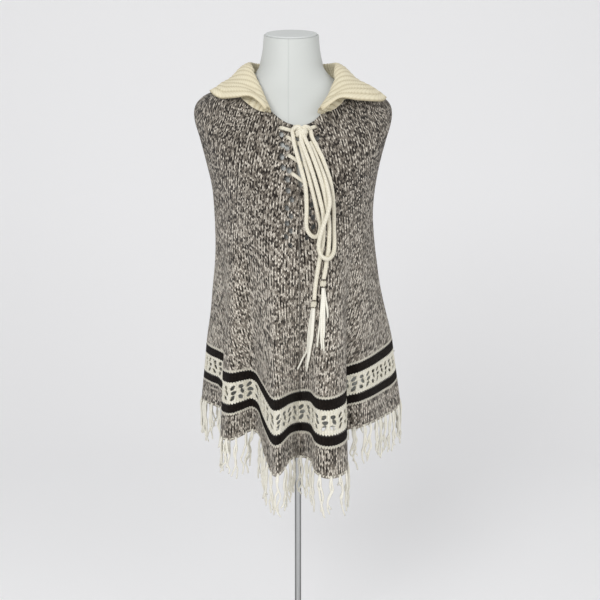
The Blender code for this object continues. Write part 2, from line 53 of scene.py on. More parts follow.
# form sections: height, centre x, half width, front depth, back depth
formSections = (
    (0.502, -0.004, 0.132, 0.091, 0.087), (0.509, -0.004, 0.14, 0.097, 0.093),
    (0.560, -0.004, 0.15, 0.102, 0.099), (0.630, -0.005, 0.14, 0.096, 0.092),
    (0.700, -0.006, 0.118, 0.088, 0.084), (0.780, -0.007, 0.122, 0.098, 0.085),
    (0.840, -0.007, 0.131, 0.1155, 0.089), (0.900, -0.008, 0.137, 0.1225, 0.094),
    (0.950, -0.008, 0.141, 0.1215, 0.099), (1.000, -0.009, 0.151, 0.112, 0.101),
    (1.050, -0.010, 0.166, 0.0945, 0.099), (1.080, -0.010, 0.175, 0.083, 0.091),
    (1.095, -0.010, 0.173, 0.077, 0.085), (1.108, -0.010, 0.16, 0.071, 0.079),
    (1.120, -0.011, 0.13, 0.066, 0.074), (1.131, -0.011, 0.1, 0.063, 0.07),
    (1.141, -0.012, 0.081, 0.061, 0.066), (1.150, -0.012, 0.07, 0.059, 0.062),
    (1.162, -0.012, 0.0605, 0.0565, 0.058), (1.175, -0.012, 0.057, 0.0545, 0.0555),
    (1.195, -0.012, 0.053, 0.052, 0.0525), (1.222, -0.012, 0.0505, 0.0505, 0.0505),
)

# cloth rings: side, front and back height, centre x, half width, front and back depth
clothRings = (
    (1.134, 1.052, 1.143, -0.010, 0.074, 0.102, 0.074), (1.130, 1.034, 1.128, -0.010, 0.100, 0.110, 0.088),
    (1.124, 1.012, 1.108, -0.010, 0.130, 0.117, 0.098), (1.116, 0.990, 1.084, -0.010, 0.158, 0.123, 0.105),
    (1.100, 0.967, 1.058, -0.009, 0.1785, 0.128, 0.110), (1.078, 0.943, 1.030, -0.009, 0.1835, 0.131, 0.113),
    (1.044, 0.918, 1.000, -0.009, 0.1745, 0.132, 0.114), (1.000, 0.892, 0.966, -0.009, 0.1635, 0.131, 0.114),
    (0.950, 0.864, 0.928, -0.008, 0.1535, 0.129, 0.114), (0.900, 0.834, 0.888, -0.008, 0.1495, 0.128, 0.114),
    (0.850, 0.800, 0.844, -0.006, 0.1505, 0.128, 0.116), (0.800, 0.762, 0.798, -0.004, 0.1550, 0.130, 0.118),
    (0.750, 0.720, 0.750, -0.003, 0.1615, 0.133, 0.121), (0.700, 0.676, 0.700, 0.000, 0.1695, 0.137, 0.125),
    (0.636, 0.590, 0.610, 0.003, 0.1820, 0.143, 0.131), (0.519, 0.456, 0.468, 0.007, 0.1980, 0.153, 0.140),
)

# the folded hem from centre front toward +X all the way round
hemPoints = (
    (0.004, -0.118, 0.456, 0.122), (0.022, -0.142, 0.458, 0.124), (0.031, -0.176, 0.447, 0.130),
    (0.051, -0.190, 0.442, 0.134), (0.076, -0.178, 0.442, 0.137), (0.090, -0.150, 0.448, 0.138),
    (0.083, -0.122, 0.474, 0.132), (0.074, -0.104, 0.490, 0.126), (0.089, -0.093, 0.500, 0.119),
    (0.111, -0.092, 0.503, 0.121), (0.140, -0.066, 0.5055, 0.125), (0.168, -0.022, 0.506, 0.130),
    (0.192, 0.014, 0.508, 0.134), (0.2055, 0.044, 0.518, 0.131), (0.196, 0.078, 0.520, 0.128),
    (0.166, 0.106, 0.512, 0.126), (0.136, 0.106, 0.506, 0.125), (0.112, 0.122, 0.494, 0.124),
    (0.086, 0.152, 0.482, 0.124), (0.056, 0.136, 0.474, 0.123), (0.034, 0.144, 0.464, 0.122),
    (0.000, 0.176, 0.454, 0.122), (-0.034, 0.142, 0.466, 0.122), (-0.058, 0.136, 0.476, 0.122),
    (-0.090, 0.152, 0.486, 0.122), (-0.116, 0.118, 0.500, 0.121), (-0.142, 0.106, 0.512, 0.120),
    (-0.172, 0.094, 0.522, 0.118), (-0.190, 0.060, 0.527, 0.116), (-0.1905, 0.024, 0.527, 0.114),
    (-0.172, -0.012, 0.528, 0.110), (-0.150, -0.034, 0.526, 0.109), (-0.131, -0.052, 0.518, 0.110),
    (-0.134, -0.078, 0.504, 0.114), (-0.1425, -0.104, 0.491, 0.121), (-0.124, -0.130, 0.491, 0.120),
    (-0.103, -0.122, 0.497, 0.116), (-0.083, -0.104, 0.502, 0.111), (-0.070, -0.114, 0.494, 0.113),
    (-0.061, -0.142, 0.470, 0.125), (-0.046, -0.172, 0.444, 0.131), (-0.031, -0.184, 0.446, 0.130),
    (-0.013, -0.148, 0.460, 0.119),
)

drape = {
    "wall": 0.0030, "rest": 0.0056, "frontX": 0.003,
    "hemQuarters": (0, 13, 21, 29),
    "foldTop": 0.86, "foldPower": 0.9, "skirtFrom": 7, "riseFrom": 9,
    "bandEdges": (1.0, 0.875, 0.525, 0.42, 0.0),
    "baseColumns": 160, "yokeRows": 26, "skirtRows": 18, "bandRows": (3, 8, 3, 10),
}


# Catmull-Rom: each value is the cubic blend of the two rows on either side of it
def splineAt(table, at, closed=False):
    rows = np.asarray(table, float)
    count = len(rows)
    at = np.asarray(at, float)
    base = np.floor(at).astype(int)
    if not closed:
        base = np.clip(base, 0, count - 2)
    t = (at - base).reshape(at.shape + (1,) * (rows.ndim - 1))

    def row(k):
        if closed:
            return rows[(base + k) % count]
        inside = rows[np.clip(base + k, 0, count - 1)]
        low = (base + k < 0).reshape(t.shape)
        high = (base + k > count - 1).reshape(t.shape)
        inside = np.where(low, 2 * rows[0] - rows[1], inside)
        return np.where(high, 2 * rows[-1] - rows[-2], inside)

    p0, p1, p2, p3 = row(-1), row(0), row(1), row(2)
    return 0.5 * (2 * p1 + (p2 - p0) * t + (2 * p0 - 5 * p1 + 4 * p2 - p3) * t ** 2
                  + (3 * p1 - p0 - 3 * p2 + p3) * t ** 3)


# x = centre + half sin(turn), y = -depth cos(turn), with its own depth in front and behind
def ovalAt(turn, centre, half, front, back):
    angle = 2 * np.pi * turn
    depth = np.where(np.cos(angle) > 0, front, back)
    return centre + half * np.sin(angle), -depth * np.cos(angle)


# unit normal = (change down the rows) x (change along the columns)
def gridNormals(points, closed):
    if closed:
        across = np.roll(points, -1, axis=1) - np.roll(points, 1, axis=1)
    else:
        across = np.gradient(points, axis=1)
    normal = np.cross(np.gradient(points, axis=0), across)
    return normal / np.maximum(np.linalg.norm(normal, axis=2, keepdims=True), 1e-9)


# a point nearer than clear to the surface under it moves out along that surface's normal,
# worked out a chunk of points at a time and only within reach of the surface
def restOn(points, bed, bedNormals, clear):
    out = points.reshape(-1, 3).copy()
    flatBed = bed.reshape(-1, 3)
    flatNormals = bedNormals.reshape(-1, 3)
    bedSize = (flatBed ** 2).sum(axis=1)
    chunk, reach = 1500, 0.04
    for start in range(0, len(out), chunk):
        part = out[start:start + chunk]
        gaps = bedSize[None] - 2 * part @ flatBed.T
        near = gaps.argmin(axis=1)
        offset = part - flatBed[near]
        height = (offset * flatNormals[near]).sum(axis=1)
        close = np.linalg.norm(offset, axis=1) < reach
        lift = np.where(close, np.maximum(clear - height, 0), 0)
        out[start:start + chunk] = part + flatNormals[near] * lift[:, None]
    return out.reshape(points.shape)


neck = {"leanFrom": 1.195, "leanOver": 0.027, "lean": 0.31}


# rows of ovals up the form; the neck's top rises toward the back by lean x its depth there
def formGrid(rows, columns):
    section = splineAt(formSections, np.linspace(0, len(formSections) - 1, rows))
    turn = np.arange(columns) / columns
    x, y = ovalAt(turn[None], section[:, 1:2], section[:, 2:3], section[:, 3:4], section[:, 4:5])
    z = np.repeat(section[:, :1], columns, axis=1)
    z = z + np.clip((z - neck["leanFrom"]) / neck["leanOver"], 0, 1) * neck["lean"] * y
    return np.stack([x, y, z], axis=2)


# the hem spline re-read so that cloth length is even over each quarter turn
def hemLine(turn):
    count = len(hemPoints)
    knots = np.linspace(0, count, count * 24 + 1)
    fine = splineAt(hemPoints, knots, closed=True)
    run = np.concatenate([[0], np.cumsum(np.linalg.norm(np.diff(fine[:, :3], axis=0), axis=1))])
    marks = np.interp(drape["hemQuarters"] + (count,), knots, run)
    want = np.interp(turn % 1.0, (0, 0.25, 0.5, 0.75, 1.0), marks)
    read = np.stack([np.interp(want, run, fine[:, k]) for k in range(4)], axis=-1)
    return read[:, :3], read[:, 3]


# one plain ring; height swings from the side to front and back by |cos| to the 1.5
def ringAt(section, turn):
    cosine = np.cos(2 * np.pi * turn)
    x, y = ovalAt(turn, section[3], section[4], section[5], section[6])
    x = x + (drape["frontX"] - section[3]) * np.clip(cosine, 0, 1) ** 2
    end = np.where(cosine > 0, section[1], section[2])
    return np.stack([x, y, section[0] + (end - section[0]) * np.abs(cosine) ** 1.5], axis=-1)


# the whole cloth from neckline to hem: rings, with the hem's folds fading upward
def clothBase():
    turn = np.arange(drape["baseColumns"]) / drape["baseColumns"]
    hem, band = hemLine(turn)
    plainHem = ringAt(np.array(clothRings[-1]), turn)
    lastLevel = len(clothRings) - 2
    skirt = np.linspace(drape["skirtFrom"], lastLevel, drape["skirtRows"] + 1)[1:]
    levels = np.concatenate([np.linspace(0, drape["skirtFrom"], drape["yokeRows"]), skirt])
    rise = hem[:, 2] + band - ringAt(np.array(clothRings[-2]), turn)[:, 2]
    rows = []
    for level in levels:
        here = ringAt(splineAt(clothRings, level), turn)
        here[:, 2] += rise * max(0.0, (level - drape["riseFrom"]) / (lastLevel - drape["riseFrom"]))
        rows.append(here)
    edges = drape["bandEdges"]
    starts = [len(rows) - 1]
    for top, low, count in zip(edges[:-1], edges[1:], drape["bandRows"]):
        for part in np.linspace(top, low, count + 1)[1:]:
            here = ringAt(splineAt(clothRings, len(clothRings) - 1 - part), turn)
            here[:, 2] = hem[:, 2] + band * part
            rows.append(here)
        starts.append(len(rows) - 1)
    cloth = np.array(rows)
    drop = np.clip((drape["foldTop"] - cloth[:, :, 2]) / (drape["foldTop"] - hem[None, :, 2]), 0, 1)
    cloth[:, :, :2] += ((hem - plainHem)[None] * (drop ** drape["foldPower"])[:, :, None])[:, :, :2]
    bed = formGrid(150, 130)
    cloth = restOn(cloth, bed, -gridNormals(bed, True), drape["rest"])
    return cloth, starts


clothGrid, bandStarts = clothBase()
clothNormals = gridNormals(clothGrid, True)
print("cloth grid", clothGrid.shape, "bands start at rows", bandStarts)


# reads the base cloth at any turns and rows: spline along the columns, then along the rows
def clothAt(rowLevels, turns, out=0.0):
    source = clothGrid + clothNormals * out if out else clothGrid
    columns = splineAt(np.swapaxes(source, 0, 1), np.asarray(turns) * drape["baseColumns"], closed=True)
    return splineAt(np.swapaxes(columns, 0, 1), rowLevels)


# bilinear read of a grid at fractional row and column numbers
def readGrid(grid, rows, columns):
    r = np.clip(np.floor(rows).astype(int), 0, grid.shape[0] - 2)
    c = np.clip(np.floor(columns).astype(int), 0, grid.shape[1] - 2)
    a = (rows - r)[..., None]
    b = (columns - c)[..., None]
    return ((1 - a) * (1 - b) * grid[r, c] + (1 - a) * b * grid[r, c + 1]
            + a * (1 - b) * grid[r + 1, c] + a * b * grid[r + 1, c + 1])


# quads with a corner inside the field's holes go; corners near an edge slide on to it
def cutGrid(layers, field):
    down, across = np.gradient(field)
    slope = np.maximum(np.sqrt(down ** 2 + across ** 2), 1e-9)
    reach = field / slope
    near = np.abs(reach) < 0.62
    rows, columns = np.mgrid[0:field.shape[0], 0:field.shape[1]].astype(float)
    rows = np.clip(rows - np.where(near, reach * down / slope, 0), 0, field.shape[0] - 1)
    columns = np.clip(columns - np.where(near, reach * across / slope, 0), 0, field.shape[1] - 1)
    inside = (field < 0) & ~near
    keep = ~(inside[:-1, :-1] | inside[1:, :-1] | inside[:-1, 1:] | inside[1:, 1:])
    mean = (field[:-1, :-1] + field[1:, :-1] + field[:-1, 1:] + field[1:, 1:]) / 4
    keep &= ~((mean < 0) & near[:-1, :-1] & near[1:, 1:])
    return [readGrid(layer, rows, columns) for layer in layers], keep


# a mesh over the kept quads with a flat pattern map; ends closes the first and last rings
def gridMesh(name, points, pattern=None, keep=None, closedAcross=False, ends=False):
    rows, columns = points.shape[:2]
    index = np.arange(rows * columns).reshape(rows, columns)
    if closedAcross:
        index = np.concatenate([index, index[:, :1]], axis=1)
    quads = np.stack([index[:-1, :-1], index[1:, :-1], index[1:, 1:], index[:-1, 1:]], axis=-1)
    quads = quads.reshape(-1, 4) if keep is None else quads[keep]
    used = np.unique(quads)
    renumber = np.full(rows * columns, -1)
    renumber[used] = np.arange(len(used))
    faces = renumber[quads]
    mesh = bpy.data.meshes.new(name)
    mesh.vertices.add(len(used))
    mesh.vertices.foreach_set("co", points.reshape(-1, 3)[used].ravel())
    mesh.loops.add(faces.size)
    mesh.loops.foreach_set("vertex_index", faces.ravel())
    mesh.polygons.add(len(faces))
    mesh.polygons.foreach_set("loop_start", np.arange(len(faces)) * 4)
    mesh.polygons.foreach_set("loop_total", np.full(len(faces), 4))
    mesh.update(calc_edges=True)
    mesh.polygons.foreach_set("use_smooth", np.ones(len(faces), bool))
    if pattern is not None:
        layer = mesh.uv_layers.new(name="stitches")
        layer.data.foreach_set("uv", pattern.reshape(-1, 2)[used][faces.ravel()].ravel())
    if ends:
        build = bmesh.new()
        build.from_mesh(mesh)
        for face in bmesh.ops.holes_fill(build, edges=build.edges[:])["faces"]:
            face.smooth = False
        build.to_mesh(mesh)
        build.free()
    piece = bpy.data.objects.new(name, mesh)
    bpy.context.scene.collection.objects.link(piece)
    return piece


def thicken(piece, wall):
    solid = piece.modifiers.new("thickness", "SOLIDIFY")
    solid.thickness = wall
    solid.offset = -1
    return piece


# many capped tubes as one mesh: each ring stands square to its path, its radius given per point
def tubesMesh(name, paths, radii, sides):
    allPoints, allFaces, allUv = [], [], []
    start = 0
    for path, radius in zip(paths, radii):
        path = np.asarray(path, float)
        count = len(path)
        radius = np.broadcast_to(np.asarray(radius, float), (count,))
        along = np.gradient(path, axis=0)
        along /= np.maximum(np.linalg.norm(along, axis=1, keepdims=True), 1e-9)
        side = np.cross(along, (0.13, 1.0, 0.21))
        side /= np.maximum(np.linalg.norm(side, axis=1, keepdims=True), 1e-9)
        up = np.cross(along, side)
        angle = 2 * np.pi * np.arange(sides) / sides
        ring = (side[:, None] * np.cos(angle)[None, :, None] + up[:, None] * np.sin(angle)[None, :, None])
        points = path[:, None] + ring * radius[:, None, None]
        index = start + np.arange(count * sides).reshape(count, sides)
        wrapped = np.concatenate([index, index[:, :1]], axis=1)
        faces = np.stack([wrapped[:-1, :-1], wrapped[:-1, 1:], wrapped[1:, 1:], wrapped[1:, :-1]], axis=-1)
        run = np.concatenate([[0], np.cumsum(np.linalg.norm(np.diff(path, axis=0), axis=1))])
        across, length = np.meshgrid(np.arange(sides + 1) / sides, run)
        uv = np.stack([across, length], axis=-1)
        corners = np.stack([uv[:-1, :-1], uv[:-1, 1:], uv[1:, 1:], uv[1:, :-1]], axis=2)
        allPoints.append(points.reshape(-1, 3))
        allFaces += faces.reshape(-1, 4).tolist()
        allUv.append(corners.reshape(-1, 2))
        allFaces.append(index[0, ::-1].tolist())
        allFaces.append(index[-1].tolist())
        allUv.append(np.tile(uv[0, 0], (sides, 1)))
        allUv.append(np.tile(uv[-1, 0], (sides, 1)))
        start += count * sides
    mesh = bpy.data.meshes.new(name)
    mesh.from_pydata(np.concatenate(allPoints).tolist(), [], allFaces)
    mesh.polygons.foreach_set("use_smooth", [len(face) == 4 for face in allFaces])
    layer = mesh.uv_layers.new(name="stitches")
    layer.data.foreach_set("uv", np.concatenate(allUv).ravel())
    mesh.update()
    piece = bpy.data.objects.new(name, mesh)
    bpy.context.scene.collection.objects.link(piece)
    return piece


# smooth curve through the points, re-read at an even step
def evenPath(points, step):
    fine = splineAt(points, np.linspace(0, len(points) - 1, len(points) * 24))
    run = np.concatenate([[0], np.cumsum(np.linalg.norm(np.diff(fine, axis=0), axis=1))])
    want = np.linspace(0, run[-1], max(4, int(round(run[-1] / step)) + 1))
    return np.stack([np.interp(want, run, fine[:, k]) for k in range(3)], axis=1)


class Nodes:
    def __init__(self, tree):
        self.tree = tree

    def add(self, kind, inputs=(), **settings):
        node = self.tree.nodes.new(kind)
        for key, value in settings.items():
            setattr(node, key, value)
        for key, value in dict(inputs).items():
            self.put(node, key, value)
        return node

    def put(self, node, key, value):
        if isinstance(value, bpy.types.NodeSocket):
            self.tree.links.new(value, node.inputs[key])
        elif value is not None:
            node.inputs[key].default_value = value

    def math(self, operation, a, b=None, c=None, clamp=False):
        node = self.add("ShaderNodeMath", operation=operation, use_clamp=clamp)
        for slot, value in enumerate((a, b, c)):
            self.put(node, slot, value)
        return node.outputs[0]

    def mix(self, amount, a, b, blend="MIX"):
        node = self.add("ShaderNodeMix", data_type="RGBA", blend_type=blend)
        self.put(node, 0, amount)
        self.put(node, 6, a)
        self.put(node, 7, b)
        return node.outputs[2]

    def noise(self, vector, scale, detail=2.0, rough=0.5):
        inputs = {"Vector": vector, "Scale": scale, "Detail": detail, "Roughness": rough}
        return self.add("ShaderNodeTexNoise", inputs).outputs[0]

    def remap(self, value, low, high, toLow=0.0, toHigh=1.0):
        node = self.add("ShaderNodeMapRange", {0: value, 1: low, 2: high, 3: toLow, 4: toHigh})
        return node.outputs[0]


def newGroup(name, inputs, outputs):
    group = bpy.data.node_groups.new(name, "ShaderNodeTree")
    for socket, kind, value in inputs:
        made = group.interface.new_socket(socket, in_out="INPUT", socket_type=kind)
        if value is not None:
            made.default_value = value
    for socket, kind in outputs:
        group.interface.new_socket(socket, in_out="OUTPUT", socket_type=kind)
    tools = Nodes(group)
    return group, tools, tools.add("NodeGroupInput").outputs, tools.add("NodeGroupOutput")


# one stitch is two slanted legs: across = fraction of a wale, the row line rises toward the wale's edges;
# height = leg roundness x row roundness x wale roundness; each leg draws its own tone,
# and the left leg of each pair is painted lighter: a painted highlight for light falling from the left
def knitGroup():
    group, n, given, out = newGroup("knitStitch", (
        ("Stitches", "NodeSocketVector", None), ("Fuzz", "NodeSocketFloat", 1.0)), (
        ("Height", "NodeSocketFloat"), ("Leg Tone", "NodeSocketFloat"), ("Ply", "NodeSocketFloat"),
        ("Row", "NodeSocketFloat")))
    spread = n.add("ShaderNodeSeparateXYZ", {0: given["Stitches"]})
    wobble = n.math("MULTIPLY", n.math("SUBTRACT", n.noise(given["Stitches"], 1.7, 2.0), 0.5), 0.12)
    wale = n.math("ADD", spread.outputs[0], wobble)
    across = n.math("FRACT", wale)
    fromMid = n.math("ABSOLUTE", n.math("SUBTRACT", across, 0.5))
    row = n.math("SUBTRACT", n.math("ADD", spread.outputs[1], wobble), n.math("MULTIPLY", fromMid, 1.25))
    leg = n.math("MULTIPLY", wale, 2.0)
    legRound = n.math("SINE", n.math("MULTIPLY", n.math("FRACT", leg), 3.14159))
    rowRound = n.math("SINE", n.math("MULTIPLY", n.math("FRACT", row), 3.14159))
    waleRound = n.math("POWER", n.math("SINE", n.math("MULTIPLY", across, 3.14159)), 0.45)
    rowShape = n.math("ADD", 0.45, n.math("MULTIPLY", rowRound, 0.55))
    height = n.math("MULTIPLY", n.math("POWER", legRound, 0.6), rowShape)
    height = n.math("MULTIPLY", height, waleRound)
    fibre = n.noise(given["Stitches"], 9.0, 3.0, 0.65)
    height = n.math("ADD", height, n.math("MULTIPLY", n.math("MULTIPLY", fibre, given["Fuzz"]), 0.30))
    cell = n.add("ShaderNodeCombineXYZ", {0: n.math("FLOOR", leg), 1: n.math("FLOOR", row), 2: 0.0})
    tone = n.add("ShaderNodeTexWhiteNoise", {"Vector": cell.outputs[0]}, noise_dimensions="3D").outputs[0]
    # painted highlight: the left leg of each pair gets 0.2 more tone, as if lit from the left
    leftLegHighlight = n.math("LESS_THAN", across, 0.5)
    tone = n.math("ADD", n.math("MULTIPLY", tone, 0.80), n.math("MULTIPLY", leftLegHighlight, 0.20))
    slide = {0: n.math("MULTIPLY", leg, 1.7), 1: n.math("MULTIPLY", row, 1.3), 2: 3.0}
    ply = n.noise(n.add("ShaderNodeCombineXYZ", slide).outputs[0], 1.5, 3.0, 0.6)
    for key, value in (("Height", height), ("Leg Tone", tone), ("Ply", ply), ("Row", row)):
        n.put(out, key, value)
    return group


# smooth shell: a broad mask for its colour and a fine height for its cloth grain
def grainGroup():
    group, n, given, out = newGroup("shellGrain", (
        ("Position", "NodeSocketVector", None), ("Scale", "NodeSocketFloat", 60.0)), (
        ("Mask", "NodeSocketFloat"), ("Height", "NodeSocketFloat")))
    broad = n.noise(given["Position"], 6.0, 3.0)
    fine = n.noise(given["Position"], n.math("MULTIPLY", given["Scale"], 12.0), 2.0)
    n.put(out, "Mask", broad)
    n.put(out, "Height", fine)
    return group


groups = {"knit": knitGroup(), "grain": grainGroup()}


def newMaterial(name):
    material = bpy.data.materials.new(name)
    material.use_nodes = True
    tools = Nodes(material.node_tree)
    shader = material.node_tree.nodes["Principled BSDF"]
    return material, tools, shader


def useGroup(tools, key, inputs):
    node = tools.add("ShaderNodeGroup")
    node.node_tree = groups[key]
    for name, value in inputs.items():
        tools.put(node, name, value)
    return node.outputs


# dull wool: the colour, and the stitches' height as a bump of the given strength and depth
def woolFinish(n, shader, colour, height, strength, distance):
    n.put(shader, "Base Color", colour)
    shader.inputs["Roughness"].default_value = 0.95
    shader.inputs["Specular IOR Level"].default_value = 0.15
    bump = n.add("ShaderNodeBump", {"Height": height, "Strength": strength, "Distance": distance})
    n.put(shader, "Normal", bump.outputs[0])


# three wool tones chosen leg by leg, with broad dye bands along the rows; each of a look's rows
# gives where a tint starts and ends and the share of legs that take it
def knitMaterial(name, look):
    material, n, shader = newMaterial(name)
    stitches = n.add("ShaderNodeUVMap", uv_map="stitches").outputs[0]
    knit = useGroup(n, "knit", {"Stitches": stitches, "Fuzz": 1.0})
    blend = n.math("ADD", n.math("MULTIPLY", knit["Leg Tone"], look["legShare"]),
                   n.math("MULTIPLY", knit["Ply"], 1 - look["legShare"]))
    stretched = n.add("ShaderNodeMapping", {"Vector": stitches, "Scale": (0.035, 0.33, 1.0)}).outputs[0]
    band = n.noise(stretched, 1.0, 3.0, 0.6)
    blend = n.math("ADD", blend, n.math("MULTIPLY", n.math("SUBTRACT", band, 0.5), look["bandDepth"]))
    if "shade" in look:
        blend = n.math("ADD", blend, n.remap(knit["Row"], *look["shade"]))
    ramp = n.add("ShaderNodeValToRGB", {0: blend})
    ramp.color_ramp.elements[0].position = look["stops"][0]
    ramp.color_ramp.elements[0].color = (*look["dark"], 1)
    ramp.color_ramp.elements[1].position = look["stops"][2]
    ramp.color_ramp.elements[1].color = (*look["light"], 1)
    middle = ramp.color_ramp.elements.new(look["stops"][1])
    middle.color = (*look["mid"], 1)
    colour = ramp.outputs[0]
    for low, high, tint, share in look.get("rows", ()):
        inRows = n.math("LESS_THAN", knit["Leg Tone"], share)
        inRows = n.math("MULTIPLY", inRows, n.math("GREATER_THAN", knit["Row"], low))
        inRows = n.math("MULTIPLY", inRows, n.math("LESS_THAN", knit["Row"], high))
        colour = n.mix(inRows, colour, (*tint, 1))
    # painted shade: the low parts of each stitch are darkened down to the grooveShade value, as shade in the
    # grooves
    depth = n.remap(knit["Height"], 0.15, 0.85, look.get("grooveShade", 0.45), 1.0)
    shade = n.add("ShaderNodeCombineColor", {0: depth, 1: depth, 2: depth}).outputs[0]
    colour = n.mix(1.0, colour, shade, "MULTIPLY")
    woolFinish(n, shader, colour, knit["Height"], 0.9, 0.0018)
    shader.inputs["Sheen Weight"].default_value = look.get("sheen", 0.15)
    return material


cream = (0.90, 0.85, 0.72)
black = (0.011, 0.007, 0.005)
marlLook = {
    "dark": (0.022, 0.017, 0.013), "mid": (0.31, 0.270, 0.222), "light": (0.93, 0.86, 0.75),
    "stops": (0.24, 0.50, 0.80), "legShare": 0.72, "bandDepth": 0.46, "grooveShade": 0.33,
}
panelLook = dict(marlLook, shade=(35, 95, 0.03, -0.08), rows=((0.15, 1.25, cream, 0.9), (-9, 0.15, black, 2)))
darkLook = {
    "dark": (0.006, 0.004, 0.003), "mid": (0.010, 0.0065, 0.005), "light": (0.022, 0.015, 0.011),
    "stops": (0.2, 0.5, 0.8), "legShare": 0.4, "bandDepth": 0.0, "grooveShade": 0.5, "sheen": 0.02,
}
creamLook = {
    "dark": (0.90, 0.84, 0.66), "mid": (0.96, 0.92, 0.78), "light": (0.99, 0.97, 0.88),
    "stops": (0.2, 0.5, 0.8), "legShare": 0.35, "bandDepth": 0.0, "grooveShade": 0.72,
    "rows": ((8.55, 99, black, 2), (-9, 0.3, black, 2)),
}
borderLook = dict(marlLook, rows=((10.6, 11.5, cream, 0.85), (11.5, 99, black, 2), (-9, 0.7, cream, 0.4)))


def setMaterial(piece, material):
    piece.data.materials.clear()
    piece.data.materials.append(material)


def finishPiece(piece, material, slot, *replaced):
    setMaterial(piece, material)
    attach(piece, "root")
    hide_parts(*replaced)
    return piece


gauge = {"wale": 0.0055, "row": 0.0039}


# arc length of each grid row measured from the column at turn zero
def arcLength(points, zeroColumn):
    step = np.linalg.norm(np.diff(points, axis=1), axis=2)
    run = np.concatenate([np.zeros((len(points), 1)), np.cumsum(step, axis=1)], axis=1)
    return run - run[:, zeroColumn:zeroColumn + 1]


def rowLength(points):
    step = np.linalg.norm(np.diff(points, axis=0), axis=2)
    return np.concatenate([np.zeros((1, points.shape[1])), np.cumsum(step, axis=0)], axis=0)


# field value in metres: distance to a tilted oval, negative inside it
def ovalField(across, down, centre, size, tilt=0.0):
    dx = across - centre[0]
    dy = down - centre[1]
    a = dx * np.cos(tilt) + dy * np.sin(tilt)
    b = -dx * np.sin(tilt) + dy * np.cos(tilt)
    k = np.sqrt((a / size[0]) ** 2 + (b / size[1]) ** 2)
    return (k - 1) * min(size)


frontPanel = {
    "slant": 0.042, "slantDepth": 0.16, "fineRows": 30, "rowCounts": (130, 68),
    "slitWidth": 0.0085, "slitLength": 0.112, "eyeletSize": (0.0045, 0.0054), "eyeletShrink": 1.2,
}
# eyelets beside the slit: across from the centre front, down from the neckline
eyelets = (
    (-0.033, 0.024), (-0.031, 0.041), (-0.022, 0.044), (-0.031, 0.062), (-0.0285, 0.080), (-0.018, 0.083),
    (-0.021, 0.099), (-0.020, 0.118), (-0.0135, 0.133), (-0.022, 0.149), (-0.015, 0.162), (-0.022, 0.176),
    (-0.0155, 0.188), (-0.0235, 0.200), (-0.0165, 0.214), (0.033, 0.030), (0.026, 0.050), (0.031, 0.070),
    (0.022, 0.143), (0.018, 0.155), (0.0235, 0.166), (0.0245, 0.183), (0.013, 0.200),
)


# turns across the front panel, closest together near the slit
def frontTurns():
    near = np.linspace(0, 0.030, 30)
    mid = np.linspace(0.030, 0.075, 34)[1:]
    far = np.linspace(0.075, 0.2497, 58)[1:]
    right = np.concatenate([near, mid, far])
    return np.concatenate([-right[:0:-1], right])


# the front: rows closer together down to the slit's foot, with the slit and the eyelets cut out;
# the wales lean away from the centre by slant x (1 - e to the -down / slantDepth)
def buildFront():
    p = frontPanel
    turns = frontTurns()
    fineCount, plainCount = p["rowCounts"]
    fine = np.linspace(0, p["fineRows"], fineCount)
    plain = np.linspace(p["fineRows"], bandStarts[0], plainCount)
    levels = np.concatenate([fine, plain[1:]])
    points = clothAt(levels, turns)
    zero = len(turns) // 2
    across = arcLength(points, zero)
    down = rowLength(points)
    slit = ovalField(across, down, (0.002, p["slitLength"] * 0.36), (p["slitWidth"], p["slitLength"] * 0.64))
    field = slit
    for x, y in eyelets:
        shrink = 1 - p["eyeletShrink"] * max(0, y - 0.08)
        hole = ovalField(across, down, (x, y), (p["eyeletSize"][0] * shrink, p["eyeletSize"][1] * shrink))
        field = np.minimum(field, hole)
    slide = p["slant"] * (1 - np.exp(-down / p["slantDepth"]))
    wales = (across - np.sign(across) * slide) / gauge["wale"]
    total = down[-1:, :]
    rows = (total - down) / gauge["row"]
    pattern = np.stack([wales, rows], axis=-1)
    (points, pattern), keep = cutGrid((points, pattern), field)
    piece = thicken(gridMesh("bodyFront", points, pattern, keep), drape["wall"])
    material = knitMaterial("marlFront", panelLook)
    return finishPiece(piece, material, "marl_knit", "body_front")


backPanel = {"turns": (0.2503, 0.7497), "columns": 200, "rows": 190}


# the back is the same cloth with no openings
def buildBack():
    turns = np.linspace(*backPanel["turns"], backPanel["columns"])
    levels = np.linspace(0, bandStarts[0], backPanel["rows"])
    points = clothAt(levels, turns)
    across = arcLength(points, backPanel["columns"] // 2)
    down = rowLength(points)
    slide = frontPanel["slant"] * (1 - np.exp(-down / frontPanel["slantDepth"]))
    wales = (across - np.sign(across) * slide) / gauge["wale"]
    pattern = np.stack([wales, (down[-1:, :] - down) / gauge["row"]], axis=-1)
    piece = thicken(gridMesh("bodyBack", points, pattern), drape["wall"])
    material = knitMaterial("marlBack", panelLook)
    return finishPiece(piece, material, "marl_knit", "body_back")


bodyFront = buildFront()
bodyBack = buildBack()
print("body panels", len(bodyFront.data.polygons), len(bodyBack.data.polygons))

# each band: its rows of stitches, grid rows and columns, and what it replaces
bandPieces = {
    "stripeUpper": {
        "index": 0, "rows": 4, "grid": (9, 420),
        "look": darkLook, "slot": "dark_knit", "node": "stripe_upper",
    },
    "laceBand": {
        "index": 1, "rows": 9, "grid": (32, 1000),
        "look": creamLook, "slot": "cream_lace", "node": "lace_band",
    },
    "stripeLower": {
        "index": 2, "rows": 3, "grid": (8, 420),
        "look": darkLook, "slot": "dark_knit", "node": "stripe_lower",
    },
    "hemBorder": {
        "index": 3, "rows": 12, "grid": (20, 420),
        "look": borderLook, "slot": "marl_knit", "node": "hem_border",
    },
}
